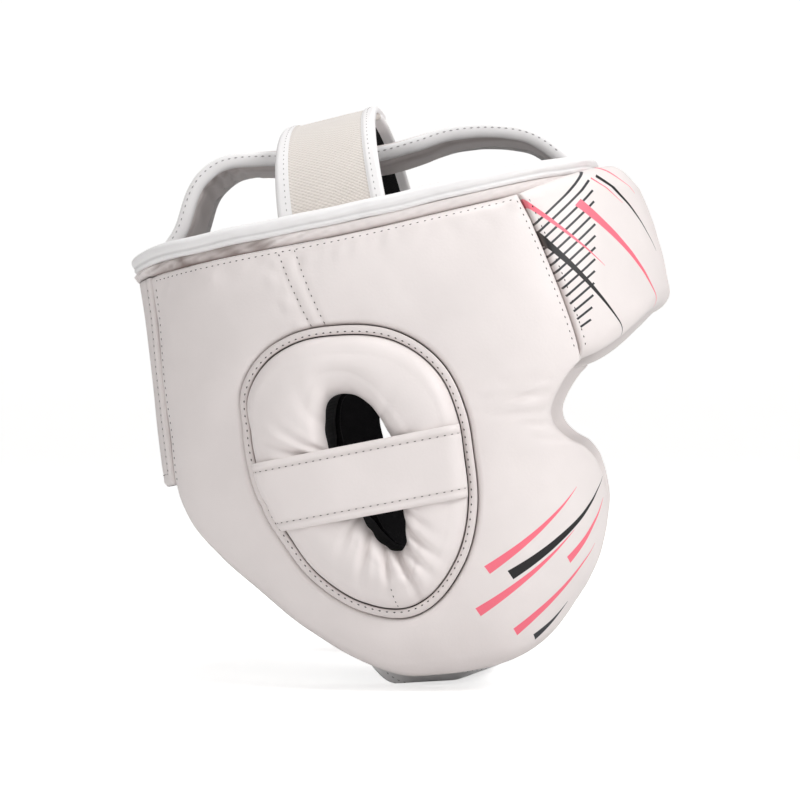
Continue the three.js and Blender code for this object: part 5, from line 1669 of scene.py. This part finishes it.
@dataclass
class ChinStrap:
    """Half of the chin strap, from inside the cheek to past the middle."""

    gear: Headgear
    side: Side
    width: float = 40.0
    thickness: float = 3.0
    overlap: float = 12.0
    turn: float = 122.0
    slant: float = 32.0
    anchor_length: float = 34.0
    anchor_gap: float = 1.2
    turn_in: float = 5.0
    front_turn_in: float = 30.0
    climb_gap: float = 1.5
    front_rise: float = 6.5
    flat_share: float = -0.1
    forward_drop: float = 21.0
    forward_sweep: float = 12.0
    cover: float = 26.0
    lining: float = 2.0
    jaw_rise: float = 0.4
    bend_steps: int = 12
    sewn_rows: int = 26

    def build(self, jaw: Rows) -> None:
        """Makes the strap half.

        Args:
            jaw: Turn and rise of the jaw edge.
        """
        gear, shell = self.gear, self.gear.shell
        depth = self.cover + shell.gap + self.lining + self.anchor_gap
        under_jaw = [row for row in jaw if row[0] > shell.front_seam_top and row[1] < self.jaw_rise]
        edge_height = shell.height * float(smooth_value(under_jaw, self.turn))
        step = (0 if self.side is Side.LEFT else 1) * (self.thickness + shell.gap)
        share = np.linspace(-1, 1, 25)
        slant, half = math.radians(self.slant), self.width / 2

        def on_cheek(up: float, lift: Any) -> np.ndarray:
            """Points along the inside of the cheek."""
            run = share * half * math.cos(slant) + up * math.sin(slant)
            climb = share * half * math.sin(slant) + up * math.cos(slant)
            turn = self.turn + run / shell.arc_per_turn
            points = gear.lie.world(shell.place(turn, edge_height + climb, depth + lift))
            points[:, 0] = np.abs(points[:, 0])
            return points

        middle = on_cheek(0, 0.0)[len(share) // 2]

        def landing(part: Any) -> Any:
            """Distance from the middle at which the strap reaches the floor."""
            return middle[0] - self.turn_in - self.front_turn_in * (1 - part) / 2

        def on_floor(x: Any, lift: Any) -> np.ndarray:
            """Points along the surface that the strap lies on."""
            curl = np.maximum(self.flat_share - share, 0) / (1 + self.flat_share)
            forward = self.forward_drop + self.forward_sweep * (1 - (x / landing(1.0)) ** 2)
            y, z = middle[1] - forward + share * half, lift + self.front_rise * curl
            return np.stack(np.broadcast_arrays(x, y, z), axis=-1)

        skins = []
        away = (1 - np.abs(share)) * half
        edge = np.clip(1 - away / 1.3, 0, 1) ** 2
        hem = 0.3 * bell(away, 4.0, 0.8)
        for low in (True, False):
            lift = 0.9 * edge if low else self.thickness - 0.9 * edge - hem
            grounded = 0 * share if low else lift
            rows = [on_cheek(up, lift) for up in np.linspace(self.anchor_length, 0, 14)]
            start, end = on_cheek(0, 0.0), on_floor(landing(share), 0.0)
            for i in range(1, self.bend_steps + 1):
                angle = math.pi / 2 * i / self.bend_steps
                flat = lift * math.cos(angle) + grounded * math.sin(angle)
                x = end[:, 0] + (start[:, 0] - end[:, 0]) * math.cos(angle) - lift * math.cos(angle)
                y = start[:, 1] + (end[:, 1] - start[:, 1]) * i / self.bend_steps
                z = start[:, 2] + (end[:, 2] - start[:, 2]) * math.sin(angle) + flat * math.sin(angle)
                rows.append(np.stack([x, y, z], axis=-1))
            finish = self.overlap + self.climb_gap
            for part in np.linspace(0.08, 1, 12):
                x = landing(share) + (finish - landing(share)) * part
                rows.append(on_floor(x, grounded + step * smoothstep(part, 0, 1)))
            for x in np.linspace(finish, -self.overlap, 10)[1:]:
                rows.append(on_floor(x + 0 * share, grounded + step))
            skins.append(np.array(rows))
        points = closed_section(skins[1], skins[0])
        points[..., 0] *= -self.side
        run = np.arange(len(points))[:, None] * 2.6
        across = np.concatenate([share * half, share[::-1] * half])[None, :]
        uv = np.stack(np.broadcast_arrays(run, across), axis=-1)
        obj = loft(f"chin_strap_leather_{self.side.label}", points, False, uv)
        dress(obj, Slot.BINDING, gear.finishes.tape, replaces=[f"chin_strap_{self.side.label}"])
        for row in (3, 21):
            path, under = skins[0][:, row].copy(), skins[1][:, row].copy()
            path[:, 0] *= -self.side
            under[:, 0] *= -self.side
            outward = path - under
            length = np.linalg.norm(outward, axis=1, keepdims=True) + 1e-6
            gear.pale_stitching.run(path[:self.sewn_rows], (outward / length)[:self.sewn_rows])


# Room


@dataclass(frozen=True)
class Lamp:
    """A soft square light: where it hangs and its side in millimetres, and its power in watts."""

    name: str
    place: tuple[float, float, float]
    size: float
    power: float


@dataclass(frozen=True)
class Studio:
    """Pale floor and wall, soft lights and the camera at the photograph's angle."""

    eye: tuple[float, float, float] = (-993.37, -114.91, 140.37)
    yaw: float = 6.6
    focal_pixels: float = 1923.0
    floor_tone: float = 0.86
    floor_glow: float = 0.62
    floor_sides: int = 64
    world_strength: float = 0.33
    aim: tuple[float, float, float] = (0, 0, 120)
    lamps: tuple[Lamp, ...] = (
        Lamp("key", (-900, -1500, 1400), 700, 24.0),
        Lamp("fill", (-1800, 700, 900), 1300, 9.0),
        Lamp("top", (200, -100, 1800), 1000, 13.0))
    sweep: Rows = ((0, 0), (900, 0), (2200, 0), (2900, 25), (3350, 110), (3650, 260), (3850, 480),
                   (3950, 760), (4000, 1200), (4000, 2300))

    def build(self) -> None:
        """Makes the floor, the lights and the camera."""
        self.camera()
        self.floor()
        for lamp in self.lamps:
            self.light(lamp)
        bpy.context.scene.view_settings.view_transform = "Standard"
        world = bpy.data.worlds.new("studio")
        bpy.context.scene.world = world
        world.use_nodes = True
        backdrop = world.node_tree.nodes["Background"]
        backdrop.inputs["Color"].default_value = (1.0, 0.99, 0.985, 1)
        backdrop.inputs["Strength"].default_value = self.world_strength

    def camera(self) -> None:
        """Sets the level camera."""
        data = bpy.data.cameras.new("camera")
        data.sensor_width = 36.0
        data.lens = self.focal_pixels / PICTURE * data.sensor_width
        data.clip_start, data.clip_end = 0.05, 60.0
        obj = bpy.data.objects.new("camera", data)
        bpy.context.scene.collection.objects.link(obj)
        obj.location = Vector(self.eye) * MM
        yaw = math.radians(self.yaw)
        obj.rotation_euler = Vector((math.cos(yaw), math.sin(yaw), 0)).to_track_quat("-Z", "Y").to_euler()
        bpy.context.scene.camera = obj

    def light(self, lamp: Lamp) -> None:
        """Adds a soft square light aimed at the headgear."""
        data = bpy.data.lights.new(lamp.name, "AREA")
        data.size = lamp.size * MM
        data.energy = lamp.power
        obj = bpy.data.objects.new(lamp.name, data)
        bpy.context.scene.collection.objects.link(obj)
        obj.location = Vector(lamp.place) * MM
        aim = Vector(self.aim) * MM - obj.location
        obj.rotation_euler = aim.to_track_quat("-Z", "Y").to_euler()

    def floor(self) -> None:
        """Makes the pale floor that runs up into a wall all round."""
        sides = self.floor_sides
        turns = np.linspace(0, 2 * np.pi, sides + 1)[:-1]
        reach, height = np.array(self.sweep).T
        x = reach[None, :] * np.cos(turns)[:, None]
        y = reach[None, :] * np.sin(turns)[:, None]
        points = np.stack(np.broadcast_arrays(x, y, height[None, :]), axis=-1)
        count = len(reach)
        faces = []
        for i in range(sides):
            here, there = i * count, (i + 1) % sides * count
            faces += [[here + j, here + j + 1, there + j + 1, there + j] for j in range(1, count - 1)]
        faces.append([i * count + 1 for i in range(sides)])
        obj = add_mesh("floor", points.reshape(-1, 3), faces)
        made = bpy.data.materials.new("pale floor")
        made.use_nodes = True
        net = Net(made.node_tree)
        shader = net.tree.nodes["Principled BSDF"]
        mottle = net.node("ShaderNodeTexNoise")
        mottle.inputs["Scale"].default_value = 2.0
        tone = self.floor_tone
        net.feed(shader.inputs["Base Color"], net.blend(mottle.outputs[0], (tone, tone, tone, 1),
                                                        (tone + 0.02, tone + 0.018, tone + 0.016, 1)))
        shader.inputs["Roughness"].default_value = 0.7
        shader.inputs["Emission Color"].default_value = (1.0, 0.995, 0.99, 1)
        seen = net.node("ShaderNodeLightPath").outputs["Is Camera Ray"]
        net.feed(shader.inputs["Emission Strength"], net.math("MULTIPLY", seen, self.floor_glow))
        obj.data.materials.append(made)


def main() -> None:
    """Builds every sub-assembly in order."""
    logging.basicConfig(level=logging.INFO, format="%(name)s: %(message)s")
    shell = Shell()
    lie = Lie.from_frame(shell)
    LOG.info("lie shift %s", lie.shift)
    gear = Headgear(shell, Ear(), lie, Finishes.build(shell), Stitching(), Stitching())
    Studio().build()
    for side in Side:
        pad = SidePad(gear, side)
        pad.build()
        EarPad(gear, side).build()
        NapeFlap(gear, side).build()
        ChinStrap(gear, side).build(pad.cheek)
    Brow(gear).build()
    Rim(gear).build()
    Crown(gear).build()
    dress(gear.stitching.build("stitches_dark"), Slot.BINDING, gear.finishes.thread)
    dress(gear.pale_stitching.build("stitches_pale"), Slot.BINDING, gear.finishes.pale_thread)
    bpy.context.view_layer.update()


if __name__ == "__main__":
    main()
